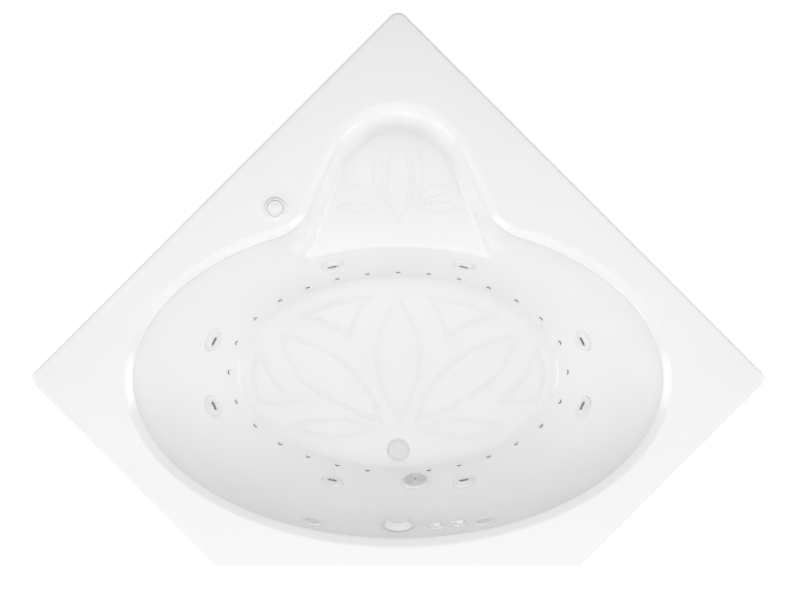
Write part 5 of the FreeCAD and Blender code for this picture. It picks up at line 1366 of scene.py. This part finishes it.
class BATH_OT_button(bpy.types.Operator):
    """Deck push button and its air tube"""

    bl_idname = "bath.button"
    bl_label = "Deck button"

    def execute(self, context):
        place = Matrix.Translation(plan_centre(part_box("deck_button"), DECK_TOP))
        mesh = lathe_mesh("button_disc", [
            (0, -0.0322), (0.007, -0.0322), (0.007, 0.0051), (0.023, 0.0051), (0.023, 0.0065),
            (0.021, 0.0085), (0.0175, 0.0089), (0.0155, 0.0079), (0.0125, 0.0084), (0.0105, 0.0094),
            (0, 0.0097)], place, 0.0012, 96)
        place_piece("button_disc", mesh, "fitting", "button", ["deck_button"], sharp=60)
        mesh = closed_lathe("button_ring", [
            (0.00708, -0.042), (0.015, -0.042), (0.015, 0), (0.0315, 0), (0.0315, 0.0025), (0.0285, 0.0065),
            (0.025, 0.0065), (0.0233, 0.005), (0.0233, 0.0012), (0.00708, 0.0012)], place, 0.0012, 96)
        place_piece("button_ring", mesh, "fitting", TUB, ["button_housing"], sharp=60)
        hose_piece("switch_tube", SWITCH_TUBE_ROUTE, 0.006, "hose", "air_switch_tube")
        return {"FINISHED"}


# ---------------------------------------------------------------- what is under the deck
class BATH_OT_plumbing(bpy.types.Operator):
    """Pipes, gaskets and nuts behind the wall"""

    bl_idname = "bath.plumbing"
    bl_label = "Pipework"

    def execute(self, context):
        dress("suction_pipe", "white_pipe")
        dress("pressure_pipe", "white_pipe")
        dress("fitting_gaskets", "rubber")
        dress("fitting_nuts", "nylon")
        return {"FINISHED"}


class BATH_OT_pump(bpy.types.Operator):
    """Pump with its impeller, and the inline heater"""

    bl_idname = "bath.pump"
    bl_label = "Pump and heater"

    def execute(self, context):
        dress("pump_motor", "motor")
        dress("pump_volute", "dark")
        dress("pump_impeller", "black")
        dress("inline_heater", "steel")
        return {"FINISHED"}


class BATH_OT_blower(bpy.types.Operator):
    """Air blower with its fan and hose, and the control box"""

    bl_idname = "bath.blower"
    bl_label = "Blower and control box"

    def execute(self, context):
        dress("blower_housing", "dark")
        dress("blower_fan", "black")
        hose_piece("air_supply_hose", BLOWER_HOSE_ROUTE, 0.038, "grey_pipe", "blower_hose")
        dress("control_box", "dark")
        return {"FINISHED"}


class BATH_OT_support(bpy.types.Operator):
    """Support frame, levelling feet and boards"""

    bl_idname = "bath.support"
    bl_label = "Frame, feet and boards"

    def execute(self, context):
        dress("support_frame", "zinc")
        dress("foot_lock_nuts", "zinc")
        for number in range(1, 6):
            dress(f"levelling_foot_{number}", "zinc")
        dress("base_board", "board")
        dress("equipment_boards", "board")
        return {"FINISHED"}


# ---------------------------------------------------------------- stage
class BATH_OT_stage(bpy.types.Operator):
    """Plain pale floor, soft studio light and the camera straight above"""

    bl_idname = "bath.stage"
    bl_label = "Floor, lights and camera"

    def execute(self, context):
        stage = context.scene.bath_stage
        self.floor(stage.floor_glow)
        self.sky(context.scene, stage.sky)
        middle = Vector((0, -0.2, 0.5))
        for name, spot, size, power, glossy in (
                ("left_light", (-6.0, -0.3, 4.0), 3.5, stage.side_light, True),
                ("right_light", (6.0, -0.3, 4.0), 3.5, stage.side_light, True),
                ("corner_left_light", (-4.5, -4.5, 3.0), 3.0, stage.corner_light, True),
                ("corner_right_light", (4.5, -4.5, 3.0), 3.0, stage.corner_light, True),
                ("front_light", (0, -3.6, 1.6), 1.8, stage.front_light, True),
                ("high_left_light", (-3.0, -0.2, 4.6), 1.6, stage.high_light, True),
                ("high_right_light", (3.0, -0.2, 4.6), 1.6, stage.high_light, True),
                ("top_light", (0, -0.4, 5.0), 3.0, stage.top_light, False)):
            self.light(name, Vector(spot), middle, size, power).visible_glossy = glossy
        camera = bpy.data.cameras.new("camera")
        camera.sensor_width = 36
        camera.lens = 36 * stage.camera_height / stage.view_width
        camera.clip_end = 60
        holder = bpy.data.objects.new("camera", camera)
        holder.location = (stage.aim_x, stage.aim_y, DECK_TOP + stage.camera_height)
        context.scene.collection.objects.link(holder)
        context.scene.camera = holder
        context.scene.view_settings.view_transform = "Standard"
        return {"FINISHED"}

    def floor(self, glow):
        """A wide round floor whose tone hardly varies."""
        finish = Finish("pale_floor", (0.95, 0.95, 0.95), 0.9)
        finish.shade(finish.noise(0.9, 2), 0.99)
        finish.relief((finish.noise(0.02, 2), 0.00005))
        finish.shader.inputs["Emission Color"].default_value = (1, 1, 1, 1)
        finish.shader.inputs["Emission Strength"].default_value = glow
        made = bmesh.new()
        bmesh.ops.create_circle(made, cap_ends=True, segments=96, radius=14)
        mesh = bpy.data.meshes.new("studio_floor")
        made.to_mesh(mesh)
        made.free()
        mesh.materials.append(finish.material)
        floor = bpy.data.objects.new("studio_floor", mesh)
        bpy.context.scene.collection.objects.link(floor)

    def sky(self, scene, strength):
        """Even white light all round."""
        world = bpy.data.worlds.new("studio_sky")
        world.use_nodes = True
        background = world.node_tree.nodes["Background"]
        background.inputs["Color"].default_value = (1, 1, 1, 1)
        background.inputs["Strength"].default_value = strength
        scene.world = world

    def light(self, name, spot, aim, size, power):
        """One soft square light."""
        data = bpy.data.lights.new(name, "AREA")
        data.size = size
        data.energy = power
        holder = bpy.data.objects.new(name, data)
        holder.location = spot
        holder.visible_camera = False
        holder.rotation_euler = (aim - spot).to_track_quat("-Z", "Y").to_euler()
        bpy.context.scene.collection.objects.link(holder)
        return holder


# ---------------------------------------------------------------- add-on
STEPS = (BATH_OT_stage, BATH_OT_shell, BATH_OT_relief, BATH_OT_jets, BATH_OT_suction, BATH_OT_air,
         BATH_OT_lights, BATH_OT_waste, BATH_OT_button, BATH_OT_plumbing, BATH_OT_pump, BATH_OT_blower,
         BATH_OT_support)


class BATH_PT_steps(bpy.types.Panel):
    """Lists the bath's steps and settings"""

    bl_label = "Corner Bath"
    bl_idname = "BATH_PT_steps"
    bl_space_type = "VIEW_3D"
    bl_region_type = "UI"
    bl_category = "Corner Bath"

    def draw(self, context):
        for step in STEPS:
            self.layout.operator(step.bl_idname)
        for group in (context.scene.bath_shape, context.scene.bath_relief, context.scene.bath_finish,
                      context.scene.bath_stage):
            box = self.layout.box()
            for name in group.__annotations__:
                box.prop(group, name)


GROUPS = {"bath_shape": BathShape, "bath_relief": BathRelief, "bath_finish": BathFinish,
          "bath_stage": BathStage}


def register():
    for group in (*GROUPS.values(), *STEPS, BATH_PT_steps):
        bpy.utils.register_class(group)
    for name, group in GROUPS.items():
        setattr(bpy.types.Scene, name, PointerProperty(type=group))


def unregister():
    for name in GROUPS:
        delattr(bpy.types.Scene, name)
    for group in reversed((*GROUPS.values(), *STEPS, BATH_PT_steps)):
        bpy.utils.unregister_class(group)


def main():
    """Runs every step in order."""
    register()
    for step in STEPS:
        family, name = step.bl_idname.split(".")
        getattr(getattr(bpy.ops, family), name)()


if __name__ == "__main__":
    main()
